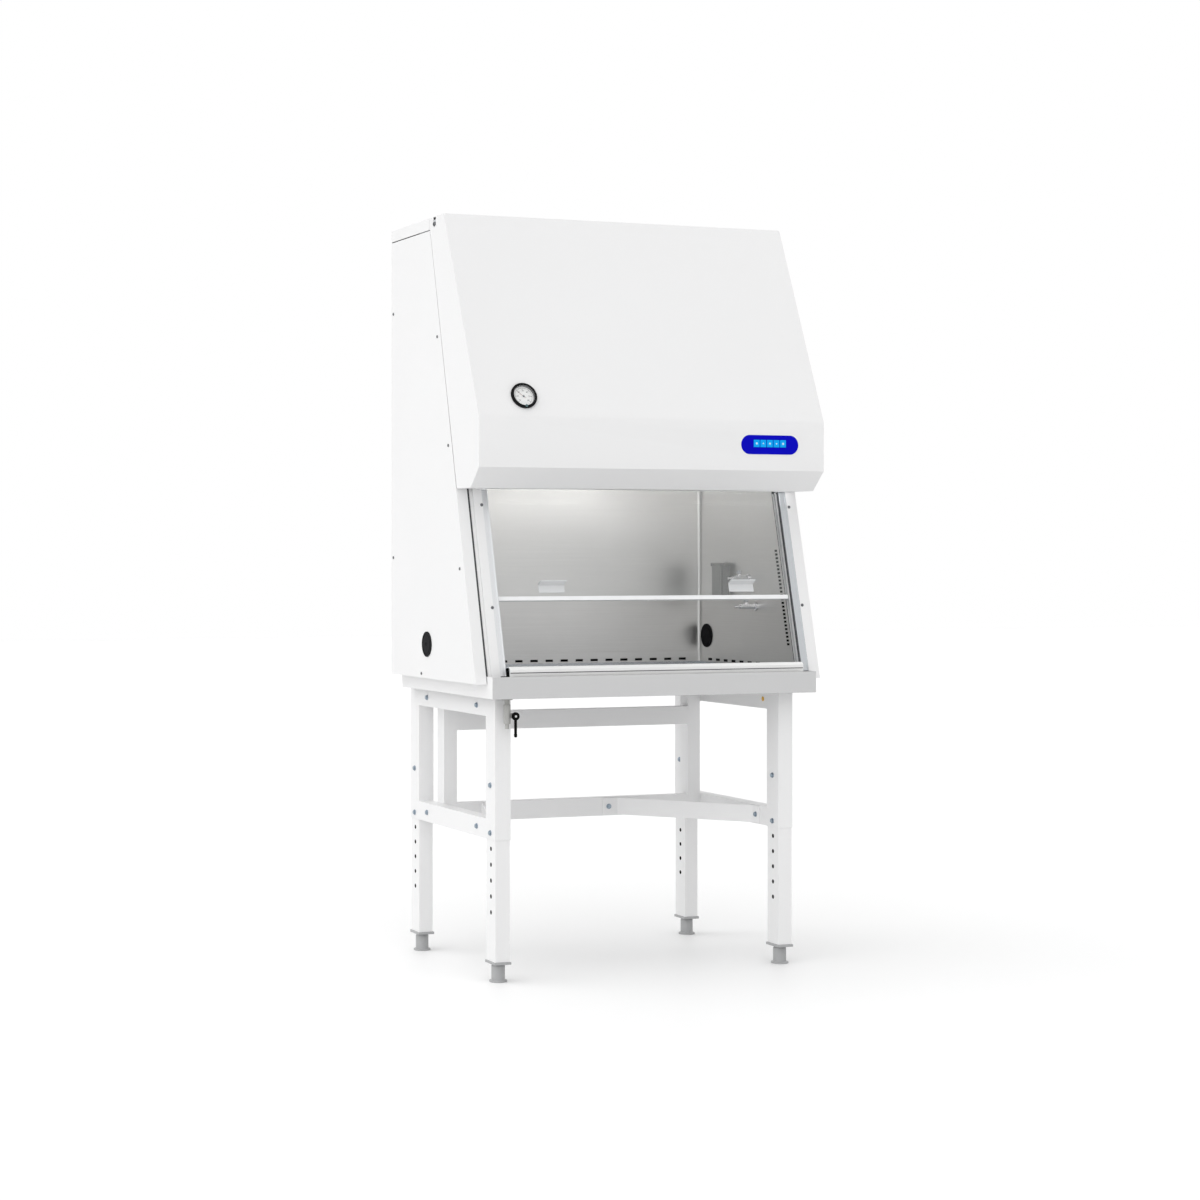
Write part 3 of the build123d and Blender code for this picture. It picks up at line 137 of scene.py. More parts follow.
class CabinetFinish(bpy.types.PropertyGroup):
    """Colours that a user may change."""

    coat: FloatVectorProperty(
        name="Powder coat", description="Colour of the cabinet's sheet metal", subtype="COLOR",
        size=3, default=(0.86, 0.86, 0.862),
    )
    apron: FloatVectorProperty(
        name="Apron", description="Colour of the base tray and its apron", subtype="COLOR",
        size=3, default=(0.605, 0.607, 0.61),
    )
    stand: FloatVectorProperty(
        name="Stand", description="Colour of the stand's powder coat", subtype="COLOR",
        size=3, default=(0.87, 0.87, 0.872),
    )
    steel: FloatVectorProperty(
        name="Stainless steel", description="Colour of the work chamber", subtype="COLOR",
        size=3, default=(0.675, 0.67, 0.66),
    )
    key_film: FloatVectorProperty(
        name="Control film", description="Colour of the control panel", subtype="COLOR",
        size=3, default=(0.002, 0.002, 0.50),
    )
    keys: FloatVectorProperty(
        name="Keys", description="Colour of the keys' windows", subtype="COLOR",
        size=3, default=(0.006, 0.38, 0.90),
    )


class StageSetting(bpy.types.PropertyGroup):
    """The light."""

    sky: FloatProperty(name="Sky", description="Strength of the even light all round", default=0.70)
    sun: FloatProperty(name="Sun", description="Strength of the soft light from the left", default=1.50)
    chamber_light: FloatProperty(name="Chamber light", description="Power of each tube light", default=0.12)
    chamber_fill: FloatProperty(name="Fill light", description="Power of the ceiling light", default=0.46)
    lamp_glow: FloatProperty(name="Lamp glow", description="Strength of the chamber's lamp", default=5.0)


class Wire:
    """One shader value, colour or vector. Maths on a value adds its Math nodes."""

    def __init__(self, net, socket):
        self.net = net
        self.socket = socket

    def maths(self, operation, first, second=None):
        inputs = {0: first}
        if second is not None:
            inputs[1] = second
        return self.net.node("ShaderNodeMath", {"operation": operation}, inputs)

    def __add__(self, other):
        return self.maths("ADD", self, other)

    def __radd__(self, other):
        return self.maths("ADD", other, self)

    def __mul__(self, other):
        return self.maths("MULTIPLY", self, other)

    def __rmul__(self, other):
        return self.maths("MULTIPLY", other, self)


class Net:
    """A material's node tree with one way to add a node."""

    def __init__(self, name):
        self.material = bpy.data.materials.new(name)
        self.material.use_nodes = True
        self.tree = self.material.node_tree
        self.shader = self.tree.nodes["Principled BSDF"]

    def node(self, kind, settings=None, inputs=None, output=0):
        made = self.tree.nodes.new(kind)
        for key, value in (settings or {}).items():
            if key == "stops":
                self.set_stops(made.color_ramp, value)
            else:
                setattr(made, key, value)
        for key, value in (inputs or {}).items():
            self.plug(made.inputs[key], value)
        return Wire(self, made.outputs[output])

    def set_stops(self, ramp, stops):
        while len(ramp.elements) < len(stops):
            ramp.elements.new(0.5)
        for element, (place, shade) in zip(ramp.elements, stops):
            element.position = place
            element.color = (shade, shade, shade, 1)

    def plug(self, socket, value):
        if isinstance(value, Wire):
            self.tree.links.new(value.socket, socket)
        elif socket.type == "RGBA" and len(value) == 3:
            socket.default_value = (*value, 1)
        else:
            socket.default_value = value

    def place(self, scale=(1, 1, 1), turn=(0, 0, 0)):
        spot = self.node("ShaderNodeTexCoord", output="Object")
        return self.node("ShaderNodeMapping", None, {"Vector": spot, "Scale": scale, "Rotation": turn})

    def noise(self, where, scale, detail=2.0, rough=0.5):
        values = {"Vector": where, "Scale": scale, "Detail": detail, "Roughness": rough}
        return self.node("ShaderNodeTexNoise", None, values)

    def ramp(self, value, stops):
        return self.node("ShaderNodeValToRGB", {"stops": stops}, {0: value})

    def mix(self, factor, first, second):
        return self.node("ShaderNodeMix", {"data_type": "RGBA"}, {0: factor, 6: first, 7: second}, output=2)

    def bump(self, height, strength, distance):
        return self.node(
            "ShaderNodeBump", None, {"Height": height, "Strength": strength, "Distance": distance}
        )

    def surface(self, **values):
        for key, value in values.items():
            self.plug(self.shader.inputs[key.replace("_", " ")], value)
        return self.material


def shade(colour, factor):
    """A colour made lighter or darker."""
    return tuple(min(1.0, part * factor) for part in colour)


def powder_coat(name, colour, roughness=0.40):
    """Baked powder coat: a fine orange peel and a faint unevenness."""
    net = Net(name)
    where = net.place()
    peel = net.noise(where, 620, 2)
    patch = net.noise(where, 2.2, 3)
    speck = net.noise(where, 1900, 1)
    tone = net.mix(net.ramp(patch, [(0.3, 0), (0.7, 1)]), shade(colour, 0.985), shade(colour, 1.01))
    grain = net.mix(net.ramp(speck, [(0.42, 0), (0.6, 1)]), shade(colour, 0.97), tone)
    return net.surface(
        Base_Color=grain, Roughness=roughness - 0.05 + 0.1 * patch, Normal=net.bump(peel, 0.12, 0.0002),
        Coat_Weight=0.06, Coat_Roughness=0.3,
    )


def brushed_steel(name, colour, stretch, roughness=0.3, metal=1.0):
    """Brushed sheet: long fine scratches one way and a cloudy sheen."""
    net = Net(name)
    lines = net.noise(net.place(stretch), 1.0, 4, 0.65)
    cloud = net.noise(net.place(), 3.5, 3)
    smudge = net.noise(net.place(), 14, 2)
    tone = net.mix(net.ramp(lines, [(0.3, 0), (0.7, 1)]), shade(colour, 0.94), shade(colour, 1.03))
    tone = net.mix(net.ramp(smudge, [(0.35, 0), (0.75, 0.3)]), tone, shade(colour, 0.95))
    return net.surface(
        Base_Color=tone, Metallic=metal, Roughness=roughness - 0.1 + 0.12 * lines + 0.1 * cloud,
        Normal=net.bump(lines, 0.02, 0.0001),
    )


def galvanised_sheet(name, colour):
    """Zinc-coated sheet with its crystal spangle."""
    net = Net(name)
    cells = net.node("ShaderNodeTexVoronoi", None, {"Vector": net.place(), "Scale": 70.0}, output="Color")
    spangle = net.node("ShaderNodeSeparateColor", None, {0: cells})
    tone = net.mix(spangle, shade(colour, 0.82), shade(colour, 1.12))
    return net.surface(Base_Color=tone, Metallic=1.0, Roughness=0.32 + 0.18 * spangle)


def zinc_plate(name, colour):
    """Bright zinc on small steel parts, a little darker in patches."""
    net = Net(name)
    patch = net.noise(net.place(), 90, 3)
    tone = net.mix(net.ramp(patch, [(0.35, 0), (0.65, 1)]), shade(colour, 0.8), colour)
    return net.surface(
        Base_Color=tone, Metallic=0.9, Roughness=0.22 + 0.2 * patch,
        Normal=net.bump(net.noise(net.place(), 900, 2), 0.15, 0.0001),
    )


def anodised_aluminium(name, colour):
    """Drawn and anodised section: fine lines along the slope."""
    net = Net(name)
    lines = net.noise(net.place((1800, 1800, 6), (TILT, 0, 0)), 1.0, 3, 0.6)
    tone = net.mix(net.ramp(lines, [(0.3, 0), (0.7, 1)]), shade(colour, 0.88), shade(colour, 1.06))
    return net.surface(
        Base_Color=tone, Metallic=0.85, Roughness=0.32 + 0.14 * lines, Normal=net.bump(lines, 0.08, 0.0001)
    )


def moulded_plastic(name, colour, roughness=0.45, grain=420, depth=0.12, coat=0.0):
    """Moulded plastic with a fine texture and slightly uneven gloss."""
    net = Net(name)
    fine = net.noise(net.place(), grain, 2)
    broad = net.noise(net.place(), 18, 2)
    tone = net.mix(broad, shade(colour, 0.94), shade(colour, 1.05))
    return net.surface(
        Base_Color=tone, Roughness=roughness - 0.06 + 0.12 * broad, Normal=net.bump(fine, depth, 0.0002),
        Coat_Weight=coat,
    )


def black_rubber(name, colour):
    """Extruded rubber with fine lines along it and a dusty bloom."""
    net = Net(name)
    lines = net.noise(net.place((1500, 1500, 12), (TILT, 0, 0)), 1.0, 3)
    dust = net.noise(net.place(), 40, 3)
    tone = net.mix(net.ramp(dust, [(0.5, 0), (0.8, 0.5)]), colour, (0.11, 0.11, 0.115))
    return net.surface(Base_Color=tone, Roughness=0.7 + 0.15 * dust, Normal=net.bump(lines, 0.3, 0.0003))


def filter_pleats(name, colour):
    """Glass-fibre filter paper: felted surface, a little greyer in broad patches."""
    net = Net(name)
    felt = net.noise(net.place(), 260, 5, 0.7)
    dust = net.noise(net.place(), 7, 3)
    tone = net.mix(net.ramp(dust, [(0.4, 0), (0.8, 0.6)]), colour, shade(colour, 0.86))
    return net.surface(Base_Color=tone, Roughness=0.9, Normal=net.bump(felt, 0.5, 0.0006))


def clear_sheet(name, colour, alpha, roughness=0.02):
    """Clear glass seen as a thin film, with faint wiping marks."""
    net = Net(name)
    wipe = net.noise(net.place((3, 3, 9)), 6.0, 3)
    net.material.surface_render_method = "DITHERED"
    return net.surface(
        Base_Color=colour, Alpha=alpha * 0.9 + alpha * 0.2 * wipe, Roughness=roughness + 0.03 * wipe,
        Coat_Weight=0.3,
    )


def glowing_tube(name, strength):
    """The lamp's frosted tube, a little darker at its ends."""
    net = Net(name)
    across = net.node("ShaderNodeSeparateXYZ", None, {0: net.place()})
    ends = net.ramp(across.maths("ABSOLUTE", across), [(0.44, 1.0), (0.51, 0.25)])
    glow = net.mix(ends, (0.2, 0.2, 0.22), (1, 0.98, 0.94))
    return net.surface(
        Base_Color=(0.9, 0.92, 0.95), Roughness=0.5, Emission_Color=glow, Emission_Strength=strength
    )


def dial_card(name, colour):
    """The gauge's printed card, off-white with a faint fibre texture."""
    net = Net(name)
    fibre = net.noise(net.place(), 700, 3)
    tone = net.mix(fibre, shade(colour, 0.96), shade(colour, 1.0))
    return net.surface(Base_Color=tone, Roughness=0.55 + 0.1 * fibre)


def satin_film(name, colour):
    """A surface with little sheen: back-printed film or deep black moulding."""
    net = Net(name)
    grain = net.noise(net.place(), 1500, 2)
    depth = net.noise(net.place(), 12, 2)
    tone = net.mix(depth, shade(colour, 0.9), shade(colour, 1.12))
    return net.surface(
        Base_Color=tone, Roughness=0.6 + 0.08 * grain, Normal=net.bump(grain, 0.05, 0.0001),
        Specular_IOR_Level=0.05,
    )


def clear_selection():
    """Leaves nothing selected."""
    if bpy.context.object and bpy.context.object.mode != "OBJECT":
        bpy.ops.object.mode_set(mode="OBJECT")
    bpy.ops.object.select_all(action="DESELECT")


def take(piece):
    """Makes one piece the only selected and the active one."""
    clear_selection()
    piece.select_set(True)
    bpy.context.view_layer.objects.active = piece


def open_faces(piece, test):
    """Enters edit mode with the faces selected that pass a test on middle and normal."""
    take(piece)
    bpy.ops.object.mode_set(mode="EDIT")
    bpy.ops.mesh.select_mode(type="FACE")
    mesh = bmesh.from_edit_mesh(piece.data)
    for face in mesh.faces:
        face.select_set(bool(test(face.calc_center_median(), face.normal)))
    mesh.select_flush_mode()
    bmesh.update_edit_mesh(piece.data)


def open_edges(piece, test):
    """Enters edit mode with the edges selected that pass a test on the edge."""
    take(piece)
    bpy.ops.object.mode_set(mode="EDIT")
    bpy.ops.mesh.select_mode(type="EDGE")
    mesh = bmesh.from_edit_mesh(piece.data)
    mesh.normal_update()
    for edge in mesh.edges:
        edge.select_set(bool(test(edge)))
    mesh.select_flush_mode()
    bmesh.update_edit_mesh(piece.data)


def close_edit():
    """Back to object mode."""
    bpy.ops.object.mode_set(mode="OBJECT")


def smooth(piece, angle=35):
    """Smooth shading between faces that meet at a small angle."""
    take(piece)
    bpy.ops.object.shade_smooth_by_angle(angle=math.radians(angle))


def turned(name, sides, radius, depth, steps):
    """A round piece grown upwards from a disc; each step is a rise and a scale of the top."""
    clear_selection()
    bpy.ops.mesh.primitive_cylinder_add(
        vertices=sides, radius=radius, depth=depth, location=(0, 0, depth / 2)
    )
    piece = bpy.context.object
    piece.name = name
    bpy.ops.object.transform_apply(location=True, rotation=True, scale=True)
    open_faces(piece, lambda middle, normal: normal.z > 0.9)
    for rise, factor in steps:
        bpy.ops.mesh.extrude_region_move(TRANSFORM_OT_translate={"value": (0, 0, rise)})
        bpy.ops.transform.resize(value=(factor, factor, 1))
    close_edit()
    return piece


def facing(spot, direction, up=None):
    """The matrix that sets a piece's foot on a spot with its Z along a direction."""
    turn = Vector(direction).to_track_quat("Z", "Y").to_matrix().to_4x4()
    if up is not None:
        z_axis = Vector(direction).normalized()
        y_axis = Vector(up).normalized()
        x_axis = y_axis.cross(z_axis)
        turn = Matrix((x_axis, y_axis, z_axis)).transposed().to_4x4()
    return Matrix.Translation(Vector(spot)) @ turn


def settle(piece, matrix):
    """Puts a piece in its place and leaves its object at the origin."""
    piece.matrix_world = matrix
    take(piece)
    bpy.ops.object.transform_apply(location=True, rotation=True, scale=True)
    return piece


def repeat(master, matrices, name):
    """Copies a piece to several places, each with its own mesh, and joins them."""
    made = []
    for matrix in matrices:
        copy = master.copy()
        copy.data = master.data.copy()
        bpy.context.collection.objects.link(copy)
        made.append(settle(copy, matrix))
    bpy.data.objects.remove(master)
    clear_selection()
    for copy in made:
        copy.select_set(True)
    bpy.context.view_layer.objects.active = made[0]
    if len(made) > 1:
        bpy.ops.object.join()
    made[0].name = name
    return made[0]


def dress(piece, material, body, slot, *nodes):
    """Gives a piece its finish and its body, and hides the CAD nodes it stands for. The slot is not used.
    """
    piece.data.materials.clear()
    piece.data.materials.append(material)
    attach(piece, body)
    if nodes:
        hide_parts(*nodes)
    return piece


def dressed_copy(node, name, width, material, body, slot, segments=2):
    """A softened copy of a CAD node in its finish, standing for that node."""
    return dress(rounded_copy(node, name, width, segments), material, body, slot, node)


def finish_node(node, material):
    """Gives a CAD node its finish."""
    shown = frame["nodes"][node]
    for holder in shown.material_slots:
        holder.link = "OBJECT"
        holder.material = material


def rounded_copy(node, name, width, segments=2):
    """A copy of a CAD node, its faces merged and its edges softened."""
    copy = bpy.data.objects.new(name, frame["nodes"][node].data.copy())
    bpy.context.collection.objects.link(copy)
    take(copy)
    bpy.ops.object.mode_set(mode="EDIT")
    bpy.ops.mesh.select_all(action="SELECT")
    bpy.ops.mesh.remove_doubles(threshold=0.00001)
    bpy.ops.mesh.dissolve_limited(angle_limit=math.radians(1))
    close_edit()
    soften = copy.modifiers.new("soften", "BEVEL")
    soften.width = width
    soften.segments = segments
    soften.limit_method = "ANGLE"
    soften.angle_limit = math.radians(40)
    bpy.ops.object.modifier_apply(modifier="soften")
    smooth(copy, 40)
    even = copy.modifiers.new("even", "WEIGHTED_NORMAL")
    even.keep_sharp = True
    take(copy)
    bpy.ops.object.modifier_apply(modifier="even")
    return copy


def line_faces(piece, material, test):
    """Gives the faces that pass a test on middle and normal a second finish."""
    piece.data.materials.append(material)
    slot = len(piece.data.materials) - 1
    for face in piece.data.polygons:
        if test(face.center, face.normal):
            face.material_index = slot


def inside(middle, low, high):
    """Whether a point lies inside a box."""
    return all(low[axis] < middle[axis] < high[axis] for axis in range(3))


def round_corners(piece, radius, shortest, segments=3):
    """Rounds a tube's long outer corners."""

    def long_corner(edge):
        return edge.is_convex and edge.calc_length() > shortest and edge.calc_face_angle(0) > 1.2

    open_edges(piece, long_corner)
    bpy.ops.mesh.bevel(offset=radius, segments=segments, affect="EDGES")
    close_edit()


class CABINET_OT_stage(bpy.types.Operator):
    """Sets the camera, the floor and the soft light"""

    bl_idname = "cabinet.stage"
    bl_label = "Stage"

    def execute(self, context):
        scene = context.scene
        setting = scene.cabinet_stage
        eye = bpy.data.cameras.new("eye")
        eye.lens = 73.9
        eye.sensor_width = 36
        eye.shift_x = 0.16667
        eye.shift_y = -0.0392
        eye.clip_end = 100
        camera = bpy.data.objects.new("eye", eye)
        camera.location = (-3.5825, -7.5707, 1.3718)
        camera.rotation_euler = (math.radians(90), 0, math.radians(-20.614))
        scene.collection.objects.link(camera)
        scene.camera = camera
        clear_selection()
        bpy.ops.mesh.primitive_plane_add(size=60, location=(0, 0, -0.0004))
        floor = context.object
        floor.name = "floor"
        net = Net("pale_floor")
        path = net.node("ShaderNodeLightPath", output="Is Camera Ray")
        drift = net.noise(net.place(), 1.5, 2)
        tone = net.mix(drift, (0.985, 0.985, 0.985), (0.995, 0.995, 0.995))
        tone = net.mix(path, (0.86, 0.86, 0.86), tone)
        net.surface(Base_Color=tone, Roughness=0.5, Emission_Color=(1, 1, 1))
        net.plug(net.shader.inputs["Specular IOR Level"], 0.25)
        net.plug(net.shader.inputs["Emission Strength"], path * 0.02)
        floor.data.materials.append(net.material)
        world = bpy.data.worlds.new("studio")
        scene.world = world
        world.use_nodes = True
        tree = world.node_tree
        path = tree.nodes.new("ShaderNodeLightPath")
        seen = tree.nodes.new("ShaderNodeMath")
        seen.operation = "MAXIMUM"
        through = tree.nodes.new("ShaderNodeMath")
        through.operation = "MAXIMUM"
        level = tree.nodes.new("ShaderNodeMapRange")
        level.inputs["To Min"].default_value = setting.sky
        level.inputs["To Max"].default_value = 1.0
        tree.links.new(path.outputs["Is Camera Ray"], seen.inputs[0])
        tree.links.new(path.outputs["Is Glossy Ray"], seen.inputs[1])
        tree.links.new(seen.outputs[0], through.inputs[0])
        tree.links.new(path.outputs["Is Transmission Ray"], through.inputs[1])
        tree.links.new(through.outputs[0], level.inputs["Value"])
        tree.links.new(level.outputs[0], tree.nodes["Background"].inputs["Strength"])
        tree.nodes["Background"].inputs["Color"].default_value = (1, 1, 1, 1)
        sun = bpy.data.lights.new("soft_sun", "SUN")
        sun.energy = setting.sun
        sun.angle = math.radians(95)
        lamp = bpy.data.objects.new("soft_sun", sun)
        lamp.rotation_euler = Vector((-0.72, -0.30, 0.85)).to_track_quat("Z", "Y").to_euler()
        scene.collection.objects.link(lamp)
        for name, size, power, spot, aim in (
            ("tube_left", (0.30, 0.03), setting.chamber_light, (-0.30, -0.245, 1.575), (-0.30, 0.30, 1.42)),
            ("tube_right", (0.30, 0.03), setting.chamber_light, (0.42, -0.245, 1.575), (0.42, 0.30, 1.42)),
            ("chamber_fill", (0.9, 0.30), setting.chamber_fill, (0.01, 0.06, 1.60), (0.01, 0.06, 1.0)),
        ):
            area = bpy.data.lights.new(name, "AREA")
            area.shape = "RECTANGLE"
            area.size, area.size_y = size
            area.energy = power
            tube = bpy.data.objects.new(name, area)
            tube.location = spot
            tube.rotation_euler = (Vector(spot) - Vector(aim)).to_track_quat("Z", "Y").to_euler()
            tube.visible_camera = False
            scene.collection.objects.link(tube)
        scene.view_settings.view_transform = "Standard"
        return {"FINISHED"}


class CABINET_OT_shell(bpy.types.Operator):
    """Dresses the folded and powder-coated sheets of the cabinet"""

    bl_idname = "cabinet.shell"
    bl_label = "Shell"

    def execute(self, context):
        sizes = context.scene.cabinet_sizes
        finish = context.scene.cabinet_finish
        coat = powder_coat("white_powder_coat", finish.coat)
        # Painted shade: a near-black finish on the sheets' inner faces, the side panels' top edges, the
        # roof's underside and the rear panel's inner face, where the cavity lies in shade
        unlit = moulded_plastic("cavity_painted_shade", (0.03, 0.03, 0.032), 0.85)
        inner_low = Vector((0.0015 - HALF, -1, FOOT_Z + 0.003))
        inner_high = Vector((HALF - 0.0015, REAR_Y - 0.001, PANEL_TOP - 0.001))
        for node in ("front_cover", "side_panel_left", "side_panel_right", "roof_cap", "column_left"):
            piece = dressed_copy(node, node + "_sheet", sizes.sheet_edge, coat, "cabinet", "white_paint")
            if node.startswith("side_panel"):
                line_faces(
                    piece, unlit,
                    lambda middle, normal: abs(normal.x) > 0.9 and inside(middle, inner_low, inner_high),
                )
                line_faces(piece, unlit, lambda middle, normal: middle.z > PANEL_TOP - 0.001)
            if node == "roof_cap":
                line_faces(piece, unlit, lambda middle, normal: normal.z < -0.5)
        apron = powder_coat("grey_powder_coat", finish.apron, 0.36)
        piece = dressed_copy("base_tray", "base_tray_pan", sizes.sheet_edge, coat, "cabinet", "apron_paint")
        line_faces(piece, apron, lambda middle, normal: normal.y < -0.5)
        # Painted shade: the base tray's downward faces are dark grey, so less light bounces from them onto
        # the floor and the stand beneath
        underside_shade = powder_coat("underside_painted_shade", (0.30, 0.30, 0.305), 0.5)
        line_faces(piece, underside_shade, lambda middle, normal: normal.z < -0.5)
        piece = dressed_copy("rear_panel", "rear_panel_sheet", 0.0004, coat, "cabinet", "white_paint")
        line_faces(piece, unlit, lambda middle, normal: middle.y < REAR_Y - 0.0015)
        finish_node("lamp_housing", coat)
        return {"FINISHED"}


class CABINET_OT_chamber(bpy.types.Operator):
    """Dresses the stainless work chamber, its tray and its grille"""

    bl_idname = "cabinet.chamber"
    bl_label = "Work chamber"

    def execute(self, context):
        sizes = context.scene.cabinet_sizes
        finish = context.scene.cabinet_finish
        walls = brushed_steel("brushed_walls", finish.steel, (4, 4, 700), 0.38)
        deck = brushed_steel("brushed_deck", (0.50, 0.52, 0.54), (4, 700, 700), 0.22)
        piece = dressed_copy("chamber_liner", "chamber_liner_sheet", 0.0006, walls, "cabinet", "stainless")
        hidden = moulded_plastic("cavity_shade", (0.02, 0.02, 0.022), 0.9)
        line_faces(piece, hidden, lambda middle, normal: middle.z < DRAIN_TOP)
        line_faces(piece, hidden, lambda middle, normal: middle.x > WALL_RIGHT + 0.00005)
        line_faces(piece, hidden, lambda middle, normal: middle.x < WALL_LEFT - 0.0012)
        line_faces(piece, hidden, lambda middle, normal: middle.y > WALL_BACK + 0.00005)
        # Painted shadow: thin near-black sheets over the slots by the right track, so the slots read as
        # dark holes
        clear_selection()
        bpy.ops.mesh.primitive_cube_add(size=1, location=(0, 0, 0.0001))
        slot_shadow_sheet = context.object
        slot_shadow_sheet.scale = (0.016, 0.0074, 0.0006)
        bpy.ops.object.transform_apply(location=True, rotation=True, scale=True)
        open_faces(slot_shadow_sheet, lambda middle, normal: normal.z > 0.9)
        bpy.ops.mesh.inset(thickness=0.0008)
        bpy.ops.transform.translate(value=(0, 0, -0.0003))
        close_edit()
        setback = SLOT_SETBACK / math.cos(TILT)
        places = []
        for step in range(SLOT_COUNT):
            z = SLOT_FOOT_Z + (SLOT_RISE + SLOT_PITCH * step) * math.cos(TILT)
            places.append(facing((WALL_RIGHT, front_y(z) + setback, z), (-1, 0, 0), (0, 0, 1)))
        slot_shadow_sheets = repeat(slot_shadow_sheet, places, "shelf_slot_painted_shadows")
        dress(slot_shadow_sheets, satin_film("slot_shadow_black", (0.003, 0.003, 0.003)), "cabinet", "black_rubber")
        edge = 0.012
        cove_middle = 1.302
        cove_length = 0.66
        for side, x in ((-1, WALL_LEFT), (1, WALL_RIGHT)):
            clear_selection()
            spot = (x - side * edge / 2, WALL_BACK - edge / 2, cove_middle)
            bpy.ops.mesh.primitive_cube_add(size=1, location=spot)
            cove = context.object
            cove.name = "chamber_cove"
            cove.scale = (edge, edge, cove_length)
            bpy.ops.object.transform_apply(location=True, rotation=True, scale=True)
            bpy.ops.mesh.primitive_cylinder_add(
                vertices=48, radius=edge, depth=1, location=(x - side * edge, WALL_BACK - edge, cove_middle)
            )
            cutter = context.object
            take(cove)
            hollow = cove.modifiers.new("hollow", "BOOLEAN")
            hollow.object = cutter
            bpy.ops.object.modifier_apply(modifier="hollow")
            bpy.data.objects.remove(cutter)
            smooth(cove, 30)
            dress(cove, walls, "cabinet", "stainless")
        dressed_copy("work_tray", "work_tray_pan", sizes.sheet_edge, deck, "work_tray", "stainless")
        node = "front_grille"
        piece = dressed_copy(node, "front_grille_sheet", sizes.sheet_edge, deck, node, "stainless")
        low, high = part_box(node)
        # Painted highlight: the grille's front lip gets a pale, half-metallic copy of the steel, standing
        # for the bright lines that light draws on it
        lip_highlight = brushed_steel("lip_painted_highlight", (0.90, 0.90, 0.895), (4, 700, 700), 0.34, 0.35)
        line_faces(piece, lip_highlight, lambda middle, normal: middle.y < low.y + 0.0005)
        lip_depth = 0.030
        lip_height = 0.012
        line_faces(
            piece, lip_highlight,
            lambda middle, normal: middle.y < low.y + lip_depth and high.z - middle.z < lip_height,
        )
        # A dark grey line across the lip's face, a little below its top
        line_drop = 0.019
        clear_selection()
        bpy.ops.mesh.primitive_cube_add(size=1, location=((low.x + high.x) / 2, low.y, high.z - line_drop))
        lip_line = context.object
        lip_line.name = "grille_lip_dark_line"
        lip_line.scale = (high.x - low.x - 0.004, 0.0012, 0.0028)
        bpy.ops.object.transform_apply(location=True, rotation=True, scale=True)
        open_faces(lip_line, lambda middle, normal: normal.y < -0.9)
        bpy.ops.mesh.inset(thickness=0.0002)
        close_edit()
        settle(lip_line, Matrix.Identity(4))
        dress(lip_line, moulded_plastic("lip_line_grey", (0.10, 0.10, 0.105), 0.7), "front_grille", "stainless")
        finish_node("supply_diffuser", walls)
        rubber = black_rubber("seal_rubber", slot_colour("black_rubber"))
        # The two tracks are the same anodised aluminium: the left one is set lighter as painted light and
        # the right one darker as painted shade
        for node, tone in (("track_left", (0.74, 0.75, 0.765)), ("track_right", (0.56, 0.58, 0.60))):
            section = anodised_aluminium(node + "_aluminium", tone)
            dressed_copy(node, node + "_section", 0.0005, section, "cabinet", "track_aluminium")
        piece = dressed_copy(
            "column_seals", "column_seal_strips", 0.0006, rubber, "cabinet", "black_rubber"
        )
        # Painted light: the right seal strip's deeper and sideways faces get a pale grey, so only its thin
        # front face reads black
        depths = [face.center.dot(FRONT) for face in piece.data.polygons if face.center.x > 0.4]
        between = (min(depths) + max(depths)) / 2
        pale = moulded_plastic("seal_side_painted_light", (0.62, 0.625, 0.63), 0.5)
        line_faces(
            piece, pale,
            lambda middle, normal: middle.x > 0.4 and (middle.dot(FRONT) < between or abs(normal.x) > 0.9),
        )
        return {"FINISHED"}


class CABINET_OT_sash(bpy.types.Operator):
    """Dresses the sash's glass, rail and handles"""

    bl_idname = "cabinet.sash"
    bl_label = "Sash"

    def execute(self, context):
        glass = clear_sheet("sash_pane_glass", slot_colour("sash_glass")[:3], 0.05)
        finish_node("sash_glass", glass)
        rail = moulded_plastic("rail_gloss_white", slot_colour("rail_white"), 0.25, 500, 0.05, 0.3)
        dressed_copy("sash_rail", "sash_rail_strip", 0.0012, rail, "sash", "rail_white")
        grip = moulded_plastic("handle_gloss", (0.68, 0.69, 0.70), 0.25, 500, 0.04, 0.3)
        dressed_copy("sash_handles", "sash_handle_plates", 0.001, grip, "sash", "handle_clear", 3)
        return {"FINISHED"}


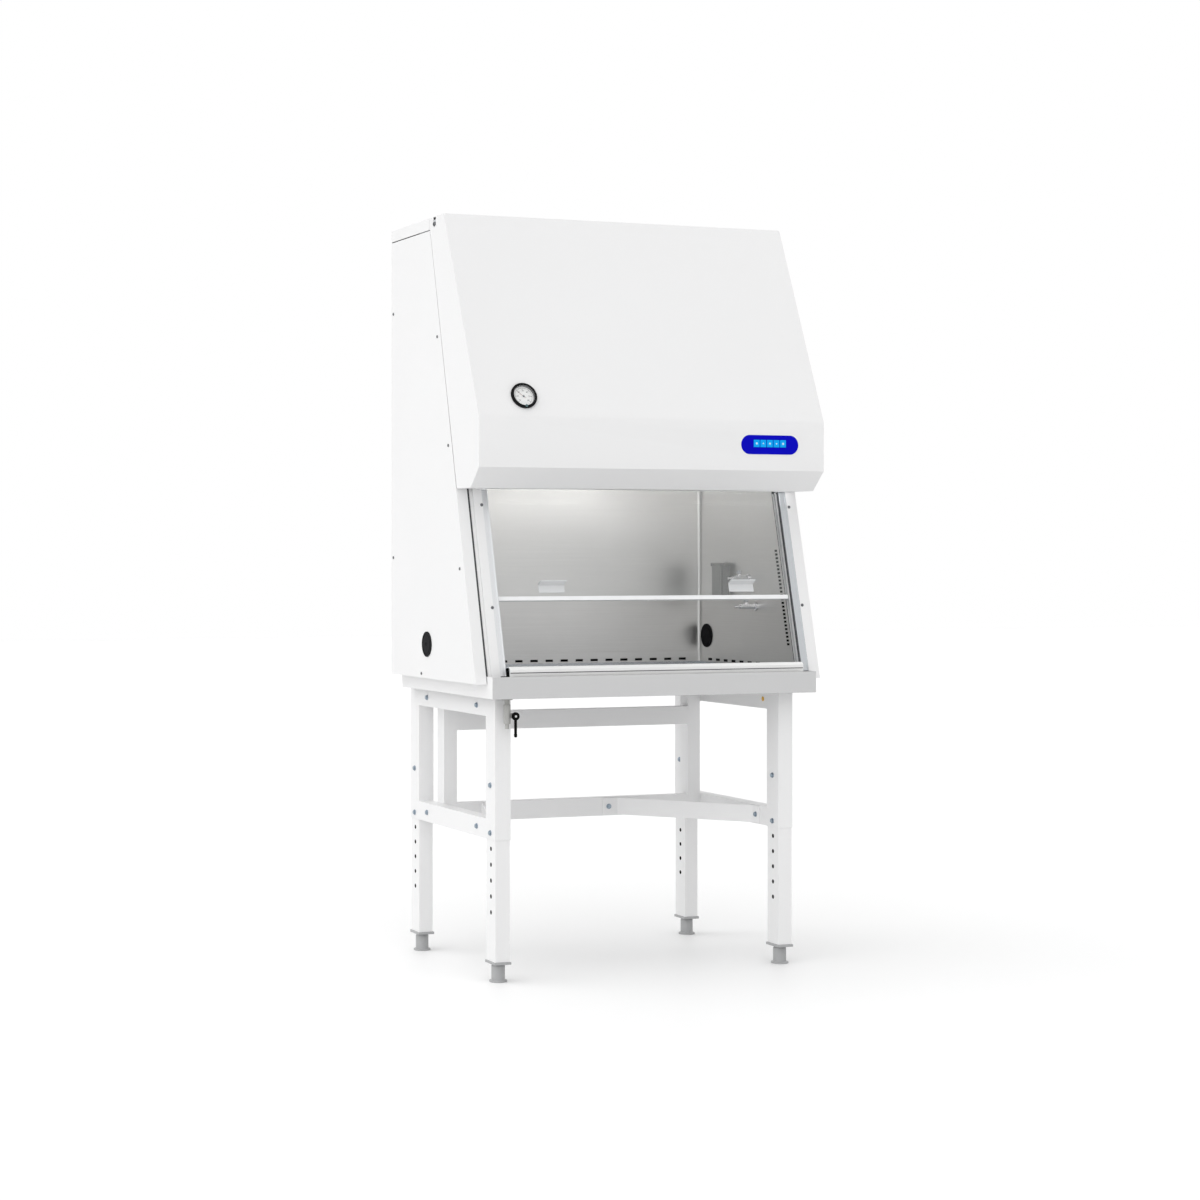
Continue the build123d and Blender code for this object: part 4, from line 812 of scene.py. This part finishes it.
class CABINET_OT_gauge(bpy.types.Operator):
    """Models the gauge's bezel, its dial marks and its adjuster"""

    bl_idname = "cabinet.gauge"
    bl_label = "Gauge"

    def execute(self, context):
        sizes = context.scene.cabinet_sizes
        low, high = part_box("gauge_lens")
        face = (low + high) / 2 - SLOPE_OUT * 0.00725
        spot = facing(face, SLOPE_OUT, SLOPE_UP)
        black = satin_film("bezel_black", (0.008, 0.008, 0.009))
        dressed_copy("gauge_case", "gauge_bezel", 0.0008, black, "cabinet", "gauge_black", 3)
        finish_node("gauge_dial", dial_card("dial_card", slot_colour("dial_white")))
        finish_node("gauge_lens", clear_sheet("gauge_window", slot_colour("lens_glass"), 0.08))
        needle = moulded_plastic("needle_paint", (0.33, 0.05, 0.03), 0.5)
        clear_selection()
        bpy.ops.mesh.primitive_cone_add(vertices=4, radius1=0.0008, radius2=0.0002, depth=0.034)
        pointer = context.object
        pointer.name = "needle_blade"
        bpy.ops.object.transform_apply(location=True, rotation=True, scale=True)
        lean = Matrix.Rotation(math.radians(50), 4, "Z") @ Matrix.Rotation(-math.pi / 2, 4, "X")
        settle(pointer, spot @ lean @ Matrix.Translation((0, 0.0002, 0.010)))
        dress(pointer, needle, "gauge_needle", "needle_red", "gauge_needle")
        hub = turned("needle_hub", 24, 0.0034, 0.0012, [(0.0006, 0.7), (0.0002, 0.4)])
        smooth(hub, 40)
        settle(hub, spot)
        dress(hub, moulded_plastic("hub_teal", (0.01, 0.045, 0.05), 0.4), "gauge_needle", "needle_red")
        ink = moulded_plastic("dial_ink", (0.03, 0.03, 0.035), 0.6)
        clear_selection()
        bpy.ops.mesh.primitive_cube_add(size=1, location=(0, 0, 0))
        tick = context.object
        tick.scale = (0.0007, 0.005, 0.0002)
        bpy.ops.object.transform_apply(location=True, rotation=True, scale=True)
        open_faces(tick, lambda middle, normal: normal.z > 0.9)
        bpy.ops.mesh.inset(thickness=0.0001)
        close_edit()
        marks = []
        for number in range(sizes.dial_ticks):
            angle = math.radians(225 - 270 * number / (sizes.dial_ticks - 1))
            length = 1.0 if number % 5 == 0 else 0.55
            turn = Matrix.Rotation(angle - math.pi / 2, 4, "Z")
            grow = Matrix.Diagonal((2.2 if number % 5 == 0 else 1.3, length, 1, 1))
            marks.append(
                spot @ turn @ Matrix.Translation((0, 0.0305 - 0.0025 * length, -0.0009)) @ grow
            )
        ticks = repeat(tick, marks, "dial_ticks")
        dress(ticks, ink, "cabinet", "gauge_black")
        numbers = []
        for number in range(7):
            angle = math.radians(225 - 45 * number)
            clear_selection()
            bpy.ops.object.text_add(location=(0, 0, 0))
            text = context.object
            text.data.body = str(number * 10)
            text.data.size = 0.0072
            text.data.align_x = "CENTER"
            text.data.align_y = "CENTER"
            text.data.extrude = 0.0001
            bpy.ops.object.convert(target="MESH")
            figure = context.object
            place = (0.0205 * math.cos(angle), 0.0205 * math.sin(angle), -0.0008)
            numbers.append(settle(figure, spot @ Matrix.Translation(place)))
        clear_selection()
        for figure in numbers:
            figure.select_set(True)
        context.view_layer.objects.active = numbers[0]
        bpy.ops.object.join()
        numbers[0].name = "dial_figures"
        dress(numbers[0], ink, "cabinet", "gauge_black")
        steps = [(0.0012, 1), (0.0004, 0.8), (0, 0.45), (-0.0008, 1)]
        adjuster = turned("gauge_adjuster", 24, 0.0045, 0.0015, steps)
        smooth(adjuster)
        settle(adjuster, spot @ Matrix.Translation((0, -0.0392, 0.0089)))
        grey = zinc_plate("adjuster_zinc", (0.10, 0.16, 0.17))
        dress(adjuster, grey, "cabinet", "zinc_steel")
        return {"FINISHED"}


class CABINET_OT_controls(bpy.types.Operator):
    """Models the control film, its keys and their signs"""

    bl_idname = "cabinet.controls"
    bl_label = "Controls"

    def execute(self, context):
        finish = context.scene.cabinet_finish
        film = satin_film("control_film", finish.key_film)
        dressed_copy("control_panel", "control_panel_plate", 0.0005, film, "cabinet", "panel_blue")
        low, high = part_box("control_panel")
        pale = moulded_plastic("panel_rim_pale", (0.86, 0.86, 0.80), 0.4)
        clear_selection()
        bpy.ops.mesh.primitive_cylinder_add(vertices=64, radius=0.0334, depth=0.0014)
        rim = context.object
        rim.name = "control_panel_rim"
        half_length = (high.x - low.x) / 2 - 0.0315
        open_faces(rim, lambda middle, normal: True)
        mesh = bmesh.from_edit_mesh(rim.data)
        for corner in mesh.verts:
            corner.co.x += math.copysign(half_length, corner.co.x)
        bmesh.update_edit_mesh(rim.data)
        close_edit()
        open_faces(rim, lambda middle, normal: abs(normal.z) > 0.9)
        bpy.ops.mesh.inset(thickness=0.0018)
        bpy.ops.mesh.delete(type="FACE")
        close_edit()
        middle = ((low.x + high.x) / 2, low.y + 0.0008, (low.z + high.z) / 2)
        settle(rim, facing(middle, (0, -1, 0), (0, 0, 1)))
        dress(rim, pale, "cabinet", "panel_blue")
        window = satin_film("key_film", finish.keys)
        ink = moulded_plastic("key_ink", (0.62, 0.82, 0.92), 0.5)
        for number in range(1, 6):
            node = "key_" + str(number)
            low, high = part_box(node)
            dressed_copy(node, node + "_cap", 0.0004, window, node, "key_blue")
            spot = facing(((low.x + high.x) / 2, low.y, (low.z + high.z) / 2), (0, -1, 0), (0, 0, 1))
            sides = (20, 3, 6, 3, 20)[number - 1]
            sign = turned(node + "_sign", sides, 0.0036, 0.0002, [(0, 0.55), (-0.00015, 1)])
            turn = Matrix.Rotation(math.pi if number == 4 else 0, 4, "Z")
            settle(sign, spot @ turn)
            dress(sign, ink, node, "key_blue")
        return {"FINISHED"}


class CABINET_OT_ports(bpy.types.Operator):
    """Models the round port plugs with their rings"""

    bl_idname = "cabinet.ports"
    bl_label = "Port plugs"

    def execute(self, context):
        grey = satin_film("plug_plastic", (0.016, 0.016, 0.018))
        for node in ("port_plug_left", "port_plug_right"):
            low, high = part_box(node)
            steps = [
                (0.0265, 1), (0, 0.042 / 0.0356), (0.0027, 1), (0.0008, 0.97), (0, 0.86), (-0.0014, 0.985),
                (0, 0.90), (0.0014, 0.985), (0, 0.24), (-0.0012, 0.95), (0, 0.5), (0.0009, 0.9),
            ]
            plug = turned(node + "_disc", 48, 0.0356, 0.0035, steps)
            smooth(plug, 30)
            settle(plug, facing((high.x, (low.y + high.y) / 2, (low.z + high.z) / 2), (-1, 0, 0)))
            dress(plug, grey, node, "plug_grey", node)
        return {"FINISHED"}


class CABINET_OT_screws(bpy.types.Operator):
    """Models the panel screws and the shoulder bolts"""

    bl_idname = "cabinet.screws"
    bl_label = "Screws and bolts"

    def execute(self, context):
        sizes = context.scene.cabinet_sizes
        zinc = zinc_plate("screw_zinc_dark", (0.17, 0.175, 0.185))
        radius = sizes.screw_head
        head = turned(
            "pan_head", 24, radius, 0.0010,
            [(0.0008, 0.94), (0.0005, 0.82), (0.0002, 0.7), (0, 0.62), (-0.0010, 0.9)],
        )
        smooth(head, 40)
        places = []
        for side in (-1, 1):
            for y, z in (
                (REAR_Y - 0.020, PANEL_TOP - 0.245),
                (REAR_Y - 0.020, FOOT_Z + 0.400),
                (front_y(PANEL_TOP - 0.356) + 0.030, PANEL_TOP - 0.356),
                (front_y(PANEL_TOP - 0.717) + 0.030, PANEL_TOP - 0.717),
                (front_y(FOOT_Z + 0.365) + 0.038, FOOT_Z + 0.365),
                (0.101, FOOT_Z + 0.014),
            ):
                places.append(facing((side * HALF, y, z), (side, 0, 0)))
        for x in (-0.537, 0.589):
            for z in (1.527, 1.197):
                places.append(facing((x, front_y(z), z), FRONT))
        screws = repeat(head, places, "panel_screws")
        dress(screws, zinc, "cabinet", "zinc_steel", "cabinet_screws")
        shoulder = turned("shoulder_head", 32, 0.008, 0.0022, [(0.0010, 0.9), (0, 0.55), (-0.0014, 0.95)])
        smooth(shoulder, 40)
        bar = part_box("front_cover")[1].z - 0.025
        y = front_y(PANEL_TOP + 0.002) - 0.041
        places = [facing((side * HALF, y, bar), (side, 0, 0)) for side in (-1, 1)]
        bolts = repeat(shoulder, places, "shoulder_bolts")
        dress(bolts, zinc, "cabinet", "zinc_steel")
        return {"FINISHED"}


class CABINET_OT_stand(bpy.types.Operator):
    """Dresses the stand: sleeves, beams, legs, braces and their bolts"""

    bl_idname = "cabinet.stand"
    bl_label = "Stand"

    def execute(self, context):
        sizes = context.scene.cabinet_sizes
        finish = context.scene.cabinet_finish
        coat = powder_coat("stand_powder_coat", finish.stand, 0.38)
        # Near black inside the leg tubes: bare steel, made darker as painted shade; it also colours the
        # painted shadow rings round the pin holes
        bare_and_painted_shade = satin_film("tube_bare_steel_and_painted_shade", (0.006, 0.006, 0.006))
        plate = powder_coat("foot_plate_grey", FOOT_GREY, 0.45)
        for node in ("side_frame_left", "side_frame_right", "rear_crossframe", "stand_braces"):
            dressed_copy(node, node + "_tube", sizes.sheet_edge, coat, "cabinet", "stand_paint")
        for corner in ("front_left", "front_right", "rear_left", "rear_right"):
            node = "leg_" + corner
            piece = dressed_copy(node, node + "_tube", sizes.sheet_edge, coat, node, "stand_paint")
            low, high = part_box(node)
            skin = Vector((PLATE_LAP + 0.00015, PLATE_LAP + 0.00015, 0.009))
            line_faces(piece, bare_and_painted_shade, lambda middle, normal: inside(middle, low + skin, high - skin))
            line_faces(piece, plate, lambda middle, normal: middle.z < low.z + PLATE_TOP)
            # Painted shadow: a thin near-black ring on the leg's outer face round each pin hole, so the
            # holes read larger and dark
            rim = turned("hole_shadow_rim", 24, 0.0071, 0.0005, [(0, 0.76), (-0.0004, 0.95)])
            smooth(rim, 30)
            places = []
            for step in range(HOLE_COUNT):
                spot = (low.x + PLATE_LAP + 0.0004, (low.y + high.y) / 2, HOLE_TOP - HOLE_PITCH * step)
                places.append(facing(spot, (-1, 0, 0)))
            rims = repeat(rim, places, node + "_hole_rims")
            dress(rims, bare_and_painted_shade, node, "stand_paint")
        zinc = zinc_plate("bolt_zinc", (0.36, 0.43, 0.50))
        bolt = turned(
            "hex_bolt", 24, sizes.washer, 0.0014,
            [(0.0003, 0.97), (0, 0.62), (0.0004, 1)],
        )
        clear_selection()
        bpy.ops.mesh.primitive_cylinder_add(
            vertices=6, radius=sizes.bolt_head, depth=0.0048, location=(0, 0, 0.0041)
        )
        head = context.object
        bpy.ops.object.transform_apply(location=True, rotation=True, scale=True)
        open_faces(head, lambda middle, normal: normal.z > 0.9)
        bpy.ops.mesh.bevel(offset=0.0008, segments=2)
        close_edit()
        head.select_set(True)
        bolt.select_set(True)
        context.view_layer.objects.active = bolt
        bpy.ops.object.join()
        smooth(bolt, 25)
        places = []
        frame_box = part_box("side_frame_left")
        outer = -frame_box[0].x
        sleeve = 0.054
        front = frame_box[0].y + 0.039
        rear = frame_box[1].y - 0.039
        top = frame_box[1].z - 0.031
        low = frame_box[0].z + 0.032
        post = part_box("rear_crossframe")[0].y
        beam = -0.1838
        for face in (-outer, outer - sleeve):
            for y in (front, rear):
                for z in (0.6287, 0.4763):
                    places.append(facing((face, y, z), (-1, 0, 0)))
        for side in (-1, 1):
            for y, z in ((post + 0.030, top), (beam, top), (beam, low), (post + 0.030, low)):
                places.append(facing((side * outer, y, z), (side, 0, 0)))
            places.append(facing((side * (outer - 0.055), beam, low), (-side, 0, 0)))
        for x, side in ((-0.337, -1), (0.151, 1)):
            places.append(facing((x - side * 0.022, post - 0.005, low), (0, -1, 0)))
        bolts = repeat(bolt, places, "stand_hex_bolts")
        dress(bolts, zinc, "cabinet", "zinc_steel", "stand_bolts")
        return {"FINISHED"}


class CABINET_OT_feet(bpy.types.Operator):
    """Models the levelling feet"""

    bl_idname = "cabinet.feet"
    bl_label = "Feet"

    def execute(self, context):
        grey = powder_coat("foot_grey_coat", FOOT_GREY, 0.45)
        for corner in ("front_left", "front_right", "rear_left", "rear_right"):
            node = "foot_" + corner
            low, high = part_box(node)
            steps = [
                (0.0012, 0.97), (0.0004, 0.94), (0.0006, 0.86), (0.002, 0.96), (0.0015, 1), (0.041, 1),
                (0.0015, 0.97), (0, 0.9), (0.0058, 1), (0, 0.40), (0.052, 1),
            ]
            foot = turned(node + "_body", 40, 0.029, 0.004, steps)
            smooth(foot, 30)
            settle(foot, Matrix.Translation(((low.x + high.x) / 2, (low.y + high.y) / 2, 0)))
            dress(foot, grey, node, "foot_grey", node)
        return {"FINISHED"}


class CABINET_OT_services(bpy.types.Operator):
    """Dresses the outlet, the service valves and the drain valve"""

    bl_idname = "cabinet.services"
    bl_label = "Services"

    def execute(self, context):
        box_grey = moulded_plastic("outlet_plastic", (0.26, 0.26, 0.255), 0.5, 500, 0.08)
        lid_grey = moulded_plastic("outlet_lid_plastic", (0.36, 0.36, 0.35), 0.5, 500, 0.08)
        for node, body, grey in (
            ("outlet_box", "cabinet", box_grey), ("outlet_cover", "outlet_cover", lid_grey),
        ):
            dressed_copy(node, node + "_shell", 0.001, grey, body, "outlet_grey", 3)
        chrome = brushed_steel("valve_plate", (0.70, 0.70, 0.71), (90, 90, 90), 0.24)
        dressed_copy("service_valves", "service_valve_bodies", 0.0006, chrome, "cabinet", "valve_chrome")
        dark = moulded_plastic("knob_plastic", slot_colour("knob_grey"), 0.4)
        for word in ("upper", "lower"):
            node = "valve_knob_" + word
            dressed_copy(node, node + "_cap", 0.0006, dark, node, "knob_grey", 3)
        beige = moulded_plastic("drain_plastic", (0.42, 0.42, 0.405), 0.55, 500, 0.1)
        dressed_copy("drain_valve", "drain_valve_body", 0.002, beige, "cabinet", "drain_beige", 4)
        black = satin_film("lever_plastic", (0.004, 0.004, 0.004))
        dressed_copy("drain_lever", "drain_lever_arm", 0.0015, black, "drain_lever", "lever_black", 3)
        low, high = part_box("drain_lever")
        middle = Vector(((low.x + high.x) / 2, low.y, high.z - 0.013))
        screw = turned("lever_screw", 24, 0.0028, 0.0008, [(0.0005, 0.85), (0, 0.5), (-0.0008, 0.9)])
        smooth(screw, 40)
        settle(screw, facing(middle, (0, -1, 0)))
        white = moulded_plastic("screw_cap_white", (0.85, 0.86, 0.87), 0.35)
        dress(screw, white, "drain_lever", "lever_black")
        ball = turned("lever_tip", 20, 0.0052, 0.008, [(0.002, 0.8), (0.001, 0.6)])
        smooth(ball, 60)
        settle(ball, facing(((low.x + high.x) / 2, (low.y + high.y) / 2, low.z + 0.004), (0, 0, -1)))
        dress(ball, black, "drain_lever", "lever_black")
        beam_low, beam_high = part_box("side_frame_right")
        cap = turned("beam_hole_cap", 24, 0.008, 0.0012, [(0.0008, 0.8), (0.0002, 0.5)])
        smooth(cap, 40)
        settle(cap, facing((beam_high.x - 0.050, -0.226, 0.880), (-1, 0, 0)))
        dress(cap, moulded_plastic("cap_amber", (0.75, 0.42, 0.04), 0.4), "cabinet", "drain_beige")
        return {"FINISHED"}


class CABINET_OT_inside(bpy.types.Operator):
    """Dresses the plenum, filters, blower, lamp and counterweights"""

    bl_idname = "cabinet.inside"
    bl_label = "Inside"

    def execute(self, context):
        sheet = galvanised_sheet("galvanised_sheet", slot_colour("galvanised"))
        for node in ("plenum_box", "blower_housing", "blower_wheel"):
            finish_node(node, sheet)
        paper = filter_pleats("filter_paper", slot_colour("filter_paper"))
        for node in ("supply_filter", "exhaust_filter"):
            finish_node(node, paper)
        finish_node("blower_motor", powder_coat("motor_enamel", slot_colour("motor_black"), 0.35))
        finish_node("counterweights", powder_coat("weight_primer", slot_colour("weight_steel"), 0.6))
        finish_node("sash_shaft", zinc_plate("shaft_zinc", slot_colour("zinc_steel")))
        finish_node("lamp_tube", glowing_tube("lamp_glass", context.scene.cabinet_stage.lamp_glow))
        return {"FINISHED"}


class CABINET_PT_panel(bpy.types.Panel):
    """Lists the cabinet's settings and pieces"""

    bl_label = "Biosafety cabinet"
    bl_idname = "CABINET_PT_panel"
    bl_space_type = "VIEW_3D"
    bl_region_type = "UI"
    bl_category = "Cabinet"

    def draw(self, context):
        column = self.layout.column()
        for holder, kind in GROUPS:
            for name in kind.__annotations__:
                column.prop(getattr(context.scene, holder), name)
        for maker in MAKERS:
            column.operator(maker.bl_idname)


MAKERS = (
    CABINET_OT_stage,
    CABINET_OT_shell,
    CABINET_OT_chamber,
    CABINET_OT_sash,
    CABINET_OT_gauge,
    CABINET_OT_controls,
    CABINET_OT_ports,
    CABINET_OT_screws,
    CABINET_OT_stand,
    CABINET_OT_feet,
    CABINET_OT_services,
    CABINET_OT_inside,
)
GROUPS = (
    ("cabinet_sizes", CabinetSizes),
    ("cabinet_finish", CabinetFinish),
    ("cabinet_stage", StageSetting),
)


def register():
    for name, group in GROUPS:
        bpy.utils.register_class(group)
        setattr(bpy.types.Scene, name, PointerProperty(type=group))
    for maker in MAKERS:
        bpy.utils.register_class(maker)
    bpy.utils.register_class(CABINET_PT_panel)


def unregister():
    bpy.utils.unregister_class(CABINET_PT_panel)
    for maker in reversed(MAKERS):
        bpy.utils.unregister_class(maker)
    for name, group in reversed(GROUPS):
        delattr(bpy.types.Scene, name)
        bpy.utils.unregister_class(group)


def main():
    """Registers the add-on and makes every piece in order."""
    register()
    bpy.ops.cabinet.stage()
    bpy.ops.cabinet.shell()
    bpy.ops.cabinet.chamber()
    bpy.ops.cabinet.sash()
    bpy.ops.cabinet.gauge()
    bpy.ops.cabinet.controls()
    bpy.ops.cabinet.ports()
    bpy.ops.cabinet.screws()
    bpy.ops.cabinet.stand()
    bpy.ops.cabinet.feet()
    bpy.ops.cabinet.services()
    bpy.ops.cabinet.inside()
    clear_selection()


if __name__ == "__main__":
    main()
